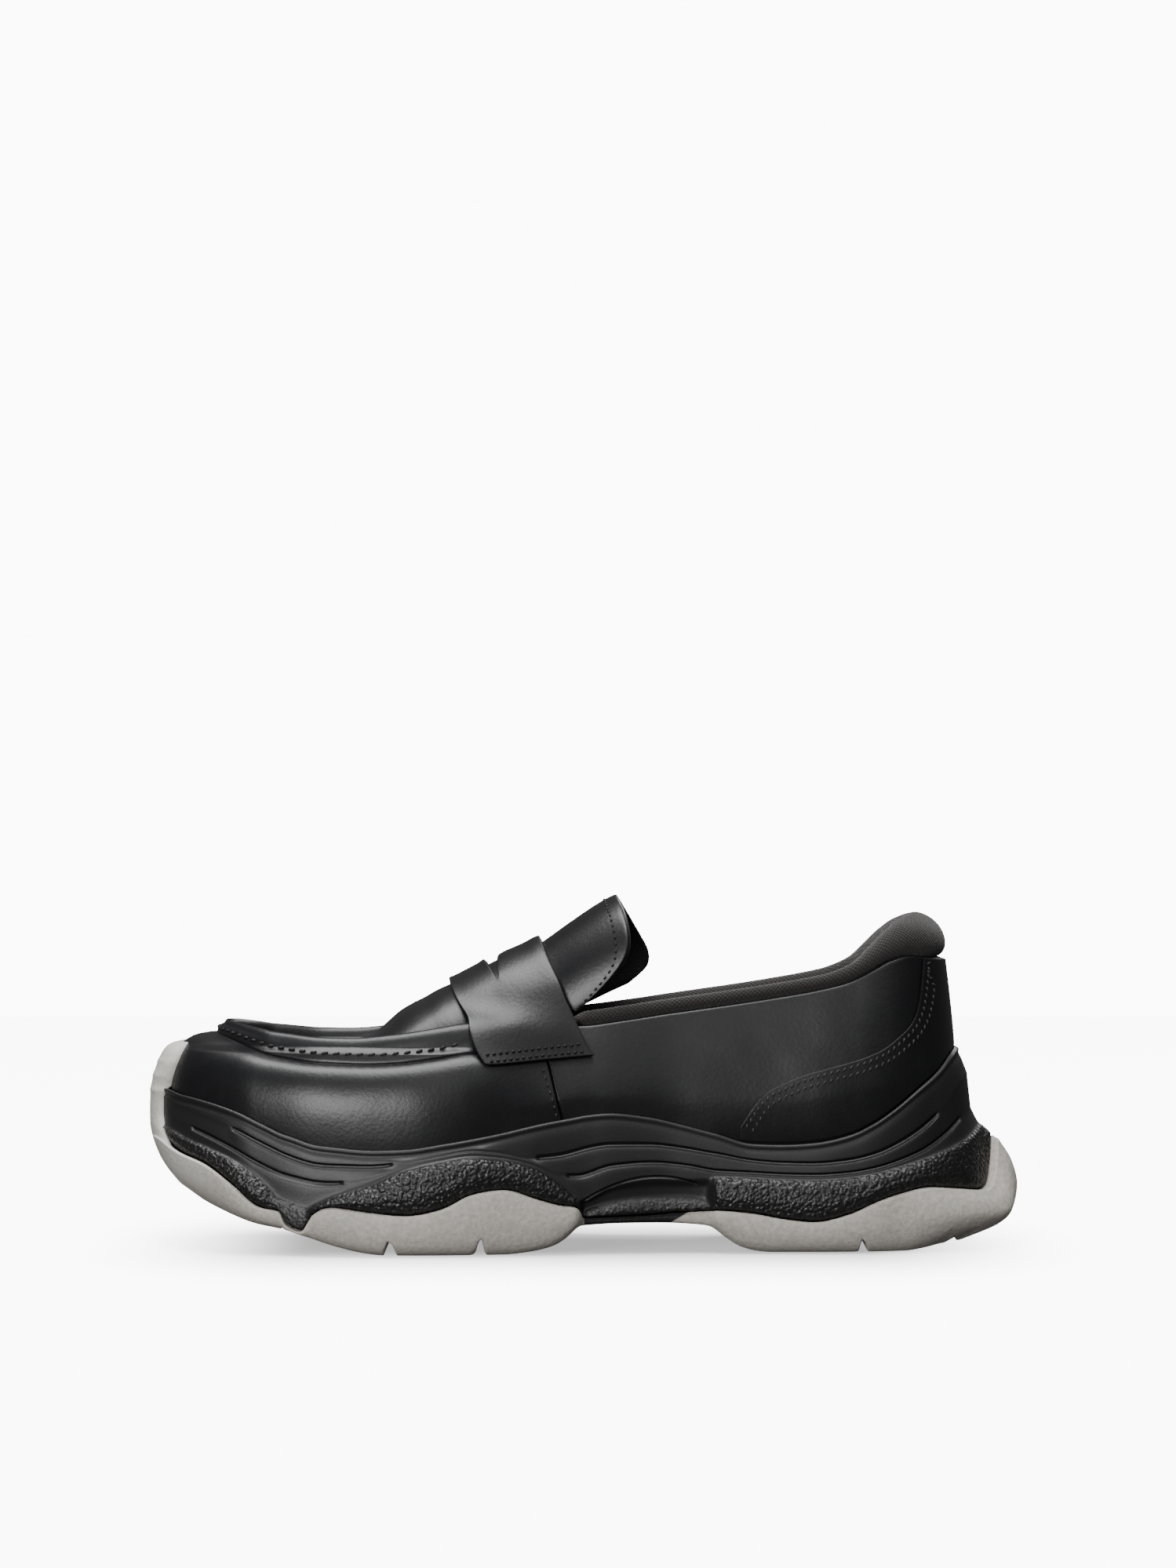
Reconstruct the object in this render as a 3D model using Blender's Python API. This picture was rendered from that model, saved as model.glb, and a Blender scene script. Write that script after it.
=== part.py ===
"""A chunky lug sole loafer, the left shoe of a pair, standing empty on its sole.

The toe points along -X, the heel along +X, the outer side along -Y, and +Z is up.
The tables are in millimetres and the model is in metres. Every wall of the shoe is
described the same way: a station stands on the plan outline of the upper, and a point
of a wall is so far outwards from that station and so high above the ground.
"""

import math

import bmesh
import bpy
from mathutils import Vector

MM = 0.001
GAP = 0.3            # clearance that touching pieces keep
FLOOR_GAP = 0.5      # and where the midsole's curved underside lies in the rubber

SHOE_NAME = "lug_sole_loafer"
TOE_X = -150.0       # the upper's plan outline, toe tip
HEEL_X = 132.5       # the upper's plan outline, back of the heel
TOE_ROUND = 34.0     # length over which the outline closes at the toe
HEEL_ROUND = 35.0    # and at the heel
TOE_POWER = 2.3      # how square the round ends are, 2 being an ellipse
HEEL_POWER = 2.2
SIDE_SHIFT = -0.4    # moves the whole shoe sideways, to centre it on the X axis
KEY_REACH = 6.0      # sole lines are looked up this far outside the outline

LEATHER = 2.0        # upper wall
TUCK = 2.5           # how far the upper draws in at its bottom edge
STRAP_WALL = 1.6
STRAP_GAP = 0.55
COUNTER_WALL = 1.3
COUNTER_GAP = 0.5
TONGUE_WALL = 4.2
INSOLE_WALL = 4.0
TAB_EDGE_X = -143.4  # the rubber toe tab ends at this station
TAB_SEAT_X = -142.6  # the midsole is recessed for the tab up to here
TAB_SEAT = 2.2       # outward reach of the midsole under the tab
TAB_TOP = 72.4       # height of the tab
THROAT_X = -8.0      # the apron ends and the tongue begins
TONGUE_MIDDLE = 2.0  # the tongue's crest lies towards the inner side
STRAP_MIDDLE = -19.5
INSTEP_TILT = 0.45   # sections over the instep lean forward as they rise
TILT_Z = 78.0        # and cross their station at this height


class Table:
    """Rows of numbers under named columns, read smoothly and without overshoot."""

    def __init__(self, names, *rows):
        self.column = {name: number for number, name in enumerate(names.split())}
        self.rows = rows

    def rise(self, column, row):
        here, there = self.rows[row], self.rows[row + 1]
        return (there[column] - here[column]) / (there[0] - here[0])

    def slope(self, column, row):
        if row == 0:
            return self.rise(column, 0)
        if row == len(self.rows) - 1:
            return self.rise(column, row - 1)
        before, after = self.rise(column, row - 1), self.rise(column, row)
        if before * after <= 0:
            return 0.0
        return 2 * before * after / (before + after)

    def __call__(self, name, x):
        column = self.column[name]
        if x <= self.rows[0][0]:
            return self.rows[0][column]
        if x >= self.rows[-1][0]:
            return self.rows[-1][column]
        row = next(i for i in range(len(self.rows)) if self.rows[i + 1][0] >= x)
        start, end = self.rows[row], self.rows[row + 1]
        span = end[0] - start[0]
        t = (x - start[0]) / span
        push = span * self.slope(column, row)
        pull = span * self.slope(column, row + 1)
        return (
            start[column] * (1 + 2 * t) * (1 - t) ** 2
            + end[column] * t * t * (3 - 2 * t)
            + push * t * (1 - t) ** 2
            - pull * t * t * (1 - t)
        )


# Plan outline of the upper at its widest.
PLAN = Table(
    "x half centre",
    (-150, 31.0, 6.0),
    (-133, 36.5, 5.0),
    (-116, 42.5, 3.5),
    (-94, 48.0, 2.0),
    (-71, 49.5, 0.5),
    (-48, 47.5, -1.5),
    (-23, 42.0, -2.0),
    (5, 36.0, -2.0),
    (34, 33.0, -1.0),
    (82, 33.5, 0.0),
    (104, 32.0, 0.0),
    (132.5, 30.0, 0.0),
)

# The upper: height of its widest point, height of the seam ridge or of the collar edge,
# how far that edge lies in from the outline, and the height of the band under the ridge.
UPPER = Table(
    "x widest edge inset band",
    (-150, 55.0, 80.7, 20.5, 4.4),
    (-140, 54.0, 80.3, 19.5, 5.2),
    (-125, 51.0, 78.9, 17.0, 7.2),
    (-110, 48.5, 77.3, 15.3, 8.6),
    (-97, 47.0, 76.2, 14.5, 9.0),
    (-84, 46.0, 76.0, 14.0, 9.3),
    (-68, 46.0, 77.3, 14.0, 10.4),
    (-50, 46.5, 79.7, 14.0, 10.8),
    (-40, 47.5, 81.1, 13.8, 10.5),
    (-25, 50.0, 82.2, 13.0, 10.0),
    (-8, 53.0, 81.0, 11.3, 10.0),
    (0, 54.0, 80.0, 10.0, 10.0),
    (16, 54.0, 81.8, 9.0, 10.0),
    (33, 52.0, 84.5, 8.8, 10.0),
    (60, 52.0, 88.4, 8.5, 10.0),
    (83, 54.0, 92.3, 8.0, 10.0),
    (94, 56.0, 94.8, 7.5, 10.0),
    (105, 58.0, 99.6, 7.0, 10.0),
    (112, 60.0, 102.8, 6.5, 10.0),
    (120, 62.0, 104.6, 5.5, 10.0),
    (132.5, 66.0, 103.4, 3.6, 10.0),
)

# Height of the footbed.
BED = Table(
    "x z",
    (-148, 48.5), (-138, 43.5), (-125, 38.0), (-110, 33.2), (-97, 30.2), (-69, 27.2),
    (-40, 27.0), (2, 30.0), (44, 33.0), (73, 34.0), (129, 35.0),
)

# The apron's crown over its own edge, and how far its sections lean forward.
CROWN = Table(
    "x height tilt",
    (-150, 0.0, 0.0),
    (-118, 0.8, 0.0),
    (-100, 1.4, 0.0),
    (-85, 2.6, 0.05),
    (-76, 4.6, 0.12),
    (-68, 8.2, 0.22),
    (-60, 11.6, 0.33),
    (-50, 14.4, 0.41),
    (-40, 16.8, 0.45),
    (-20, 21.8, 0.45),
    (-8, 25.0, 0.45),
    (0, 29.6, 0.45),
    (6, 32.4, 0.45),
)

# Lines along the side of the sole: top rim, the two moulded lines, the upper edge of
# the textured pods, and the top of the grey rubber.
SIDE = Table(
    "x rim upper lower pod grey",
    (-156.0, 57.0, 52.0, 48.0, 43.5, 40.4),
    (-151.0, 56.2, 51.4, 47.0, 42.8, 38.8),
    (-147.0, 55.1, 50.5, 45.7, 41.6, 36.6),
    (-143.0, 54.5, 49.8, 44.4, 39.8, 34.7),
    (-134.0, 52.7, 47.3, 41.2, 37.0, 30.8),
    (-123.0, 49.5, 43.2, 36.4, 32.2, 22.2),
    (-114.0, 45.6, 39.0, 31.8, 25.4, 13.9),
    (-107.0, 42.5, 35.8, 28.8, 19.0, 12.8),
    (-97.0, 39.4, 32.6, 26.4, 17.0, 12.4),
    (-94.0, 38.8, 32.0, 25.9, 17.8, 15.6),
    (-89.0, 38.3, 31.7, 25.6, 20.2, 17.4),
    (-75.0, 37.2, 31.5, 27.4, 24.8, 15.7),
    (-62.0, 37.6, 33.2, 32.0, 30.2, 14.6),
    (-50.0, 39.3, 35.6, 34.4, 33.0, 16.8),
    (-39.0, 41.0, 37.4, 36.0, 34.6, 22.1),
    (-28.0, 43.0, 36.4, 35.0, 33.6, 23.6),
    (-17.0, 45.5, 34.0, 32.2, 30.6, 20.2),
    (-8.0, 47.2, 34.6, 28.2, 24.8, 17.6),
    (-1.5, 48.3, 36.1, 27.6, 19.6, 16.8),
    (0.8, 48.8, 36.8, 28.0, 19.6, 12.6),
    (10.0, 49.6, 38.3, 31.0, 24.4, 12.8),
    (24.0, 48.0, 38.2, 32.0, 26.6, 13.3),
    (36.0, 45.1, 36.8, 31.0, 26.4, 14.3),
    (45.0, 42.7, 35.2, 29.3, 26.6, 14.8),
    (47.0, 42.2, 34.9, 29.0, 26.8, 15.2),
    (60.0, 38.5, 32.5, 28.3, 26.4, 14.2),
    (71.0, 38.2, 31.6, 27.7, 25.8, 12.2),
    (82.0, 38.8, 31.4, 27.5, 25.6, 11.1),
    (94.0, 41.2, 32.4, 28.2, 26.4, 13.8),
    (104.0, 45.6, 34.6, 29.9, 28.0, 18.3),
    (112.0, 50.5, 37.8, 32.2, 30.0, 21.0),
    (121.0, 57.0, 43.0, 35.8, 32.8, 23.0),
    (130.0, 63.5, 51.0, 42.0, 36.6, 22.3),
    (135.5, 69.0, 58.6, 47.6, 40.0, 22.6),
    (137.6, 70.8, 60.4, 49.2, 42.2, 33.0),
    (138.5, 71.4, 61.0, 50.0, 43.2, 38.8),
)

# How far the pods swell out (1) or the shank draws in (-1.5), and the depth of the two
# moulded lines.
FORM = Table(
    "x swell upper lower",
    (-156.0, 1.0, 0.0, 0.0),
    (-141.0, 1.0, 0.0, 0.6),
    (-126.0, 1.0, 0.3, 1.2),
    (-114.0, 0.8, 1.2, 1.2),
    (-107.0, 0.2, 1.2, 1.2),
    (-97.0, 0.2, 1.2, 1.2),
    (-93.0, 0.9, 1.2, 0.8),
    (-84.0, 1.0, 1.2, 0.0),
    (-66.0, 1.0, 0.0, 0.0),
    (-17.0, 1.0, 0.0, 0.0),
    (-5.0, 0.9, 0.9, 0.5),
    (-1.5, 0.8, 1.2, 1.2),
    (0.8, -1.3, 1.2, 1.2),
    (20.0, -1.5, 1.2, 1.2),
    (36.0, -1.3, 1.2, 1.2),
    (45.0, -0.9, 1.2, 1.2),
    (47.0, 0.8, 1.2, 1.2),
    (60.0, 1.0, 1.2, 1.0),
    (125.0, 1.0, 1.2, 1.0),
    (134.0, 1.0, 0.2, 0.9),
    (138.5, 1.0, 0.0, 0.0),
)

# Underside of the grey rubber along its middle and along its edge, and the floor that
# the midsole lies on.
GROUND = Table(
    "x middle edge floor",
    (-152.0, 31.0, 31.0, 37.0),
    (-146.5, 24.2, 24.2, 32.0),
    (-141.0, 19.8, 22.8, 27.5),
    (-134.0, 15.3, 19.4, 23.0),
    (-124.0, 10.2, 13.8, 18.0),
    (-116.0, 7.0, 10.2, 13.2),
    (-106.0, 4.9, 7.4, 11.0),
    (-96.0, 3.4, 4.6, 10.6),
    (-86.0, 1.6, 2.0, 10.2),
    (-76.0, 0.3, 0.4, 9.6),
    (-70.0, 0.0, 0.0, 9.5),
    (-28.0, 0.0, 0.0, 9.5),
    (-18.0, 0.8, 1.0, 10.0),
    (-10.0, 2.6, 3.0, 11.0),
    (-5.0, 6.0, 6.2, 11.6),
    (-1.5, 9.4, 9.4, 12.0),
    (0.8, 9.8, 9.8, 12.0),
    (14.0, 10.4, 10.4, 12.2),
    (26.0, 10.4, 10.4, 12.7),
    (40.0, 9.7, 9.7, 13.4),
    (45.0, 9.0, 9.0, 13.4),
    (50.0, 5.6, 5.6, 12.4),
    (56.0, 1.8, 1.8, 11.0),
    (63.0, 0.2, 0.2, 10.0),
    (66.0, 0.0, 0.0, 9.6),
    (114.0, 0.0, 0.0, 9.4),
    (121.0, 0.4, 0.9, 9.8),
    (129.0, 1.2, 3.2, 11.0),
    (136.0, 2.2, 4.6, 13.0),
    (142.0, 4.9, 7.4, 16.0),
    (148.0, 9.0, 10.5, 20.0),
)

# Outward reach of the sole's rows on the side, with the share of the pods' swell, at
# the middle of the toe and at the middle of the heel.
MIDSOLE_REACH = {
    "rim": (1.8, 0.0, TAB_SEAT, 1.3),
    "bead": (2.5, 0.0, TAB_SEAT, 2.8),
    "upper_top": (3.0, 0.0, TAB_SEAT, 5.4),
    "upper_foot": (4.0, 0.0, TAB_SEAT, 6.0),
    "lower_top": (4.6, 0.0, TAB_SEAT, 6.6),
    "lower_foot": (5.4, 0.0, TAB_SEAT, 7.0),
    "pod_edge": (5.6, 0.0, TAB_SEAT, 9.6),
    "pod_shoulder": (5.6, 2.6, TAB_SEAT, 11.6),
    "pod_belly": (5.6, 3.4, TAB_SEAT, 13.4),
    "pod_foot": (5.6, 2.4, TAB_SEAT, 14.4),
}
OUTSOLE_REACH = (
    # share of height, side, swell, toe, heel
    (0.93, 5.5, 3.2, 6.0, 17.8),
    (0.74, 5.5, 3.3, 5.0, 22.0),
    (0.46, 5.3, 3.0, 6.0, 23.5),
    (0.18, 4.3, 2.3, 3.2, 15.5),
    (0.0, 2.6, 1.5, -3.5, 5.0),
)
OUTSOLE_LIP = (5.2, 2.8, 6.0, 15.4)
TAB_LIP = (5.2, 2.8, -0.4, 15.4)
TAB_SHOULDER = (0.93, 5.5, 3.2, 2.2, 17.8)
OUTSOLE_INNER_TOP = (1.4, 2.6, 2.5, 11.0)
OUTSOLE_INNER_LOW = (0.4, 2.0, -6.0, 9.0)

# Front edge of the heel counter, from the sole's rim up to the collar.
COUNTER = Table(
    "x z",
    (56, 43.0), (59, 47.5), (63, 53.0), (67, 56.6), (72, 59.0), (80, 62.4), (90, 65.2),
    (100, 68.0), (108, 71.2), (114, 75.4), (119, 80.0), (122.5, 86.0), (124.5, 95.0),
    (126.0, 104.0),
)

# The padded collar's section, out and up from the outer corner of the leather edge, on
# the sides and at the back of the heel.
COLLAR_SECTION = (
    # side out, side up, back out, back up
    (-2.4, -12.0, -2.4, -12.0),
    (-2.4, 0.4, -2.4, 0.4),
    (-0.6, 0.4, -0.4, 0.4),
    (0.3, 1.7, 1.2, 3.0),
    (-0.1, 3.6, -1.0, 8.4),
    (-2.3, 4.7, -5.8, 13.2),
    (-5.0, 3.6, -11.4, 15.8),
    (-6.6, -2.0, -15.6, 11.5),
    (-5.6, -12.0, -11.5, -12.0),
)
COLLAR_SHARE = Table(
    "x back",
    (88, 0.0), (97, 0.14), (105, 0.38), (113, 0.53), (118, 0.63), (122, 0.73), (127, 0.87),
    (132.5, 1.0),
)

# The tongue: crest line along the instep, half width and drop of its two sides, and how
# far its sections lean. Then how far the end edge falls back from a square end on the
# outer and the inner side, by the share of the drop from the crest.
TONGUE_CREST = Table(
    "run x z outer inner outer_drop inner_drop lean",
    (0.0, -19.4, 105.3, 28.5, 20.5, 27.0, 27.0, 0.45),
    (6.6, -14.0, 109.0, 29.2, 22.5, 27.6, 28.0, 0.47),
    (20.0, -2.8, 117.0, 31.0, 27.5, 28.0, 30.5, 0.52),
    (32.9, 8.0, 124.0, 32.0, 30.0, 28.4, 32.8, 0.57),
    (37.4, 12.0, 125.9, 32.4, 30.5, 28.6, 33.4, 0.57),
)
TONGUE_END = Table(
    "share outer inner",
    (0.0, 0.0, 0.0), (0.16, 0.6, -0.2), (0.4, 2.4, -0.2), (0.57, 4.4, 0.0),
    (0.72, 7.6, 0.8), (0.82, 12.6, 2.0), (0.91, 20.5, 4.6), (0.97, 27.5, 9.0),
    (1.0, 32.5, 17.0),
)

# Cross grooves between the lugs.
GROOVES = (
    # apex x, apex z, start x, end x, base z
    (-106.0, 9.6, -109.0, -103.0, 0.0),
    (-68.0, 7.6, -70.5, -64.0, -1.0),
    (-36.0, 7.6, -39.5, -33.5, -1.0),
    (99.0, 5.6, 96.8, 102.2, -1.0),
    (131.0, 9.6, 128.6, 133.6, 0.0),
)
GROOVE_HALF = 90.0   # half length of a groove cutter

# The seam ridge's section from the shoulder of the band inwards, and the same rows as
# shares of the height at the rear, where the upper ends at the collar.
RIDGE = (
    # outward of the edge, measured up from, up, share at the rear
    (5.0, "shoulder", 0.0, 0.58),
    (5.2, "shoulder", 1.3, 0.68),
    (1.8, "edge", -1.2, 0.78),
    (-0.2, "edge", 0.0, 0.87),
    (-1.9, "edge", -1.3, 0.94),
    (-2.6, "edge", -6.0, 1.0),
)
ROUND_OVER = 2.2     # power of the leather's rounding under the band
LEAN_POWER = 1.35    # power of the rear wall's lean towards the collar

# Where the sections stand along the shoe. The upper uses some of the sole's places, so
# that its flats lie inside those of the sole.
UPPER_STATIONS = (
    -149.6, -147.6, -143.8, -137.0, -128.0, -118.0, -106.0, -92.0, -76.0, -60.0, -48.0,
    -38.0, -28.0, -18.0, THROAT_X, 4.0, 20.0, 38.0, 57.0, 76.0, 90.0, 97.0, 104.0,
    109.0, 114.0, 121.0, 127.0, 131.0,
)
SOLE_ONLY = (
    -145.8, TAB_EDGE_X, TAB_SEAT_X, -142.0, -112.5, -102.5, -96.0, -93.0, -84.0, -68.0, -33.0,
    -13.0, -4.0, -1.5, 0.8, 12.0, 44.5, 47.0, 66.0, 98.0, 124.5, 129.4, 132.1,
)
SOLE_STATIONS = tuple(sorted(UPPER_STATIONS + SOLE_ONLY))


# Places across the apron and across the tongue, from the crest (0) to either edge (1).
ARCH_SHARES = (-0.96, -0.85, -0.64, -0.32, 0.0, 0.32, 0.64, 0.85, 0.96)
ARCH_POWER = 2.3
TONGUE_SHARES = (
    -1.0, -0.98, -0.93, -0.82, -0.6, -0.3, 0.0, 0.3, 0.6, 0.82, 0.93, 0.98, 1.0,
)
TONGUE_STEPS = 6
SOLE_SHARES = (-0.6, 0.0, 0.6)
COUNTER_SHARES = (0.0, 0.33, 0.66, 1.0)

# The strap: its lower edge at the front and at the back, and where it meets the band.
STRAP_LOW_FRONT = 65.8
STRAP_LOW_BACK = 69.2
STRAP_BAND_Z = 75.0
STRAP_PLACES = (-39.3, -33.5, -28.0, -18.0, THROAT_X, -3.8, 0.3)

# The strap's slot: a leaf across the crest.
SLOT_HALF = 17.5
SLOT_WIDTH = 2.9
SLOT_BASE_Z = 90.0
SLOT_DEPTH = 30.0
SLOT_STEPS = 8


class Station:
    """One place on the plan outline, with the direction that leads straight out."""

    def __init__(self, x, side):
        self.x = x
        self.side = side
        self.y = self.across(x)
        if side == 0:
            self.out = Vector((-1.0 if x < 0 else 1.0, 0.0))
        else:
            step = 0.05
            low, high = max(x - step, TOE_X), min(x + step, HEEL_X)
            run = Vector((high - low, self.across(high) - self.across(low)))
            self.out = Vector((-side * run.y, side * run.x)).normalized()
        self.key = x + KEY_REACH * self.out.x
        facing = max(0.0, (abs(self.out.x) - 0.3) / 0.7) ** 1.3
        self.toe = facing if x < 0 else 0.0
        self.heel = facing if x > 0 else 0.0

    def across(self, x):
        closing = 1.0
        for reach, length, power in (
            (x - TOE_X, TOE_ROUND, TOE_POWER),
            (HEEL_X - x, HEEL_ROUND, HEEL_POWER),
        ):
            if reach < length:
                left = 1.0 - max(reach, 0.0) / length
                closing *= (1.0 - left**power) ** (1.0 / power)
        return PLAN("centre", x) + self.side * PLAN("half", x) * closing

    def at(self, out, z):
        x = self.x + out * self.out.x
        y = self.y + out * self.out.y
        return Vector((x, y + SIDE_SHIFT, z))

    def blend(self, side, swell, toe, heel):
        """Outward reach that passes from the toe's value over the side's to the heel's."""
        reach = side + swell * FORM("swell", self.key)
        return reach + self.toe * (toe - reach) + self.heel * (heel - reach)


def stations(places):
    """A closed round of stations: toe tip, outer side, heel, inner side."""
    outer = [Station(x, -1) for x in places]
    inner = [Station(x, 1) for x in reversed(places)]
    return [Station(TOE_X, 0)] + outer + [Station(HEEL_X, 0)] + inner


def mix(a, b, share):
    return a + (b - a) * share


def front_share(x):
    """1 where the upper carries the seam ridge, 0 where it ends at the collar."""
    t = min(max((-4.0 - x) / 34.0, 0.0), 1.0)
    return t * t * (3 - 2 * t)


def wall(station, z):
    """Outward reach of the leather at a height: drawn in below, rounded over above."""
    x = station.x
    widest, edge, inset = UPPER("widest", x), UPPER("edge", x), UPPER("inset", x)
    if z <= widest:
        foot = BED("z", station.x - TUCK * station.out.x)
        return -TUCK * ((widest - z) / (widest - foot)) ** 2
    shoulder = edge - UPPER("band", x)
    rise = min((z - widest) / (shoulder - widest), 1.0)
    round_over = (RIDGE[0][0] - inset) * (1 - (1 - rise**ROUND_OVER) ** (1 / ROUND_OVER))
    lean = -inset * min((z - widest) / (edge - widest), 1.0) ** LEAN_POWER
    return mix(lean, round_over, front_share(x))


def upper_rows(station):
    """The leather's outer side from the bottom edge to the seam or collar edge."""
    x = station.x
    widest, edge, inset = UPPER("widest", x), UPPER("edge", x), UPPER("inset", x)
    foot = BED("z", x - TUCK * station.out.x)
    shoulder = edge - UPPER("band", x)
    share = front_share(x)
    rows = [(wall(station, z), z) for z in (foot + GAP, mix(foot, widest, 0.5), widest)]
    for front, rear in ((0.45, 0.18), (0.74, 0.34), (0.92, 0.48)):
        z = mix(mix(widest, edge, rear), mix(widest, shoulder, front), share)
        rows.append((wall(station, z), z))
    level_of = {"shoulder": shoulder, "edge": edge}
    for outward, base, up, rear in RIDGE:
        lean = -inset * rear**LEAN_POWER
        out = mix(lean, outward - inset, share)
        rows.append((out, mix(mix(widest, edge, rear), level_of[base] + up, share)))
    return rows


def upper_inner_rows(station):
    """The leather's inner side, which doesn't follow the ridge."""
    rows = upper_rows(station)
    share = front_share(station.x)
    inner = []
    for number, (out, z) in enumerate(rows):
        drop = 0.0 if number < 4 else min((number - 3) * 0.35, 1.2) * share
        inner.append((out - LEATHER, z - drop))
    low, high = inner[6], (rows[-1][0] - LEATHER * 0.7, rows[-1][1] - LEATHER * share)
    for number in range(7, len(rows)):
        part = (number - 6) / (len(rows) - 7)
        smooth = (mix(low[0], high[0], part), mix(low[1], high[1], part))
        plain = inner[number]
        inner[number] = (mix(plain[0], smooth[0], share), mix(plain[1], smooth[1], share))
    return inner


def metres(point):
    return Vector(point) * MM


class Body:
    """A closed mesh in the making."""

    def __init__(self, name):
        self.name = name
        self.mesh = bmesh.new()

    def row(self, points):
        return [self.mesh.verts.new(metres(point)) for point in points]

    def band(self, first, second, closed=True):
        """Four-sided faces between two rows of the same length."""
        count = len(first)
        for i in range(count if closed else count - 1):
            j = (i + 1) % count
            self.mesh.faces.new((first[i], first[j], second[j], second[i]))

    def cover(self, ring, last, place, shares):
        """Rows across a closed round, from each outer station to its inner partner."""
        rows = []
        for i in range(1, last + 1):
            middle = [self.mesh.verts.new(metres(place(i, share))) for share in shares]
            rows.append([ring[i]] + middle + [ring[-i]])
        self.fan(ring[0], rows[0])
        for near, far in zip(rows, rows[1:]):
            self.band(near, far, closed=False)
        return rows

    def fan(self, tip, row):
        for a, b in zip(row, row[1:]):
            self.mesh.faces.new((tip, a, b))

    def finish(self, material, smooth_angle=35.0):
        bmesh.ops.recalc_face_normals(self.mesh, faces=self.mesh.faces)
        if self.mesh.calc_volume(signed=True) < 0:
            bmesh.ops.reverse_faces(self.mesh, faces=self.mesh.faces)
        data = bpy.data.meshes.new(self.name)
        self.mesh.to_mesh(data)
        self.mesh.free()
        data.materials.append(material)
        data.shade_smooth()
        data.set_sharp_from_angle(angle=math.radians(smooth_angle))
        made = bpy.data.objects.new(self.name, data)
        parts.objects.link(made)
        return made


def closed_loft(body, rounds, profile, first_cover, last_cover, shares):
    """A body from rows round the shoe, covered at the first and at the last row."""
    columns = [profile(station) for station in rounds]
    rows = []
    for number in range(len(columns[0])):
        points = [st.at(*column[number]) for st, column in zip(rounds, columns)]
        rows.append(body.row(points))
    for near, far in zip(rows, rows[1:]):
        body.band(near, far)
    pairs = (len(rounds) - 2) // 2
    for ring, column, surface in ((rows[0], 0, first_cover), (rows[-1], -1, last_cover)):
        def place(i, share, column=column, surface=surface):
            one = rounds[i].at(*columns[i][column])
            other = rounds[-i].at(*columns[-i][column])
            return surface(one, other, share)

        across = body.cover(ring, pairs, place, shares)
        body.fan(ring[pairs + 1], across[-1])


def level(one, other, share):
    """A cover that runs straight across."""
    return one.lerp(other, 0.5 + share / 2)


def sole_cover(lift, column):
    def surface(one, other, share):
        point = one.lerp(other, 0.5 + share / 2)
        middle = GROUND(column, point.x) + lift
        edge = mix(one.z, other.z, 0.5 + share / 2)
        point.z = mix(middle, edge, abs(share) ** 3)
        return point

    return surface


def edge_height(station, out):
    """Underside of the rubber at its edge: it lifts towards toe and heel corners."""
    x = station.x + out * station.out.x
    corner = 1.0 - max(station.toe, station.heel) ** 2
    return mix(GROUND("middle", x), GROUND("edge", x), corner)


def under_tab(station):
    return station.x <= TAB_SEAT_X


def tab(station):
    return station.x <= TAB_EDGE_X


def inner_top(station):
    if under_tab(station):
        return TAB_SEAT + GAP
    return station.blend(*OUTSOLE_INNER_TOP)


def ledge_height(station):
    """Where the midsole steps in over the rubber's top edge."""
    if tab(station):
        return SIDE("pod", station.key) - 4.5
    return SIDE("grey", station.key)


def inner_foot(station):
    out = station.blend(*OUTSOLE_INNER_LOW)
    return out, GROUND("floor", station.x + out * station.out.x)


def outsole_profile(station):
    """From the inner floor edge up, over the lip, and down to the ground edge."""
    foot, floor = inner_foot(station)
    grey = TAB_TOP if tab(station) else SIDE("grey", station.key)
    ledge = ledge_height(station)
    low = inner_top(station)
    high = station.blend(*(TAB_LIP if tab(station) else OUTSOLE_LIP))
    rows = [(foot, floor)]
    if tab(station):
        clear = wall(station, grey) + GAP if station.x < TAB_EDGE_X else low
        rows.append((low, mix(floor, ledge, 0.85)))
        rows.append((low, SIDE("rim", station.key) + 5.0))
        rows.append((clear, grey + 0.8))
    else:
        rows.append((mix(foot, low, 0.75), mix(floor, ledge, 0.5)))
        rows.append((low, mix(floor, ledge, 0.85)))
        rows.append((mix(low, high, 0.5), mix(floor, ledge, 0.925)))
    rows.append((high, grey))
    bottom = edge_height(station, station.blend(*OUTSOLE_REACH[-1][1:]))
    shoulder = TAB_SHOULDER if tab(station) else OUTSOLE_REACH[0]
    for share, *reach in (shoulder, *OUTSOLE_REACH[1:]):
        rows.append((station.blend(*reach), mix(bottom, grey, share)))
    return rows


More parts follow.
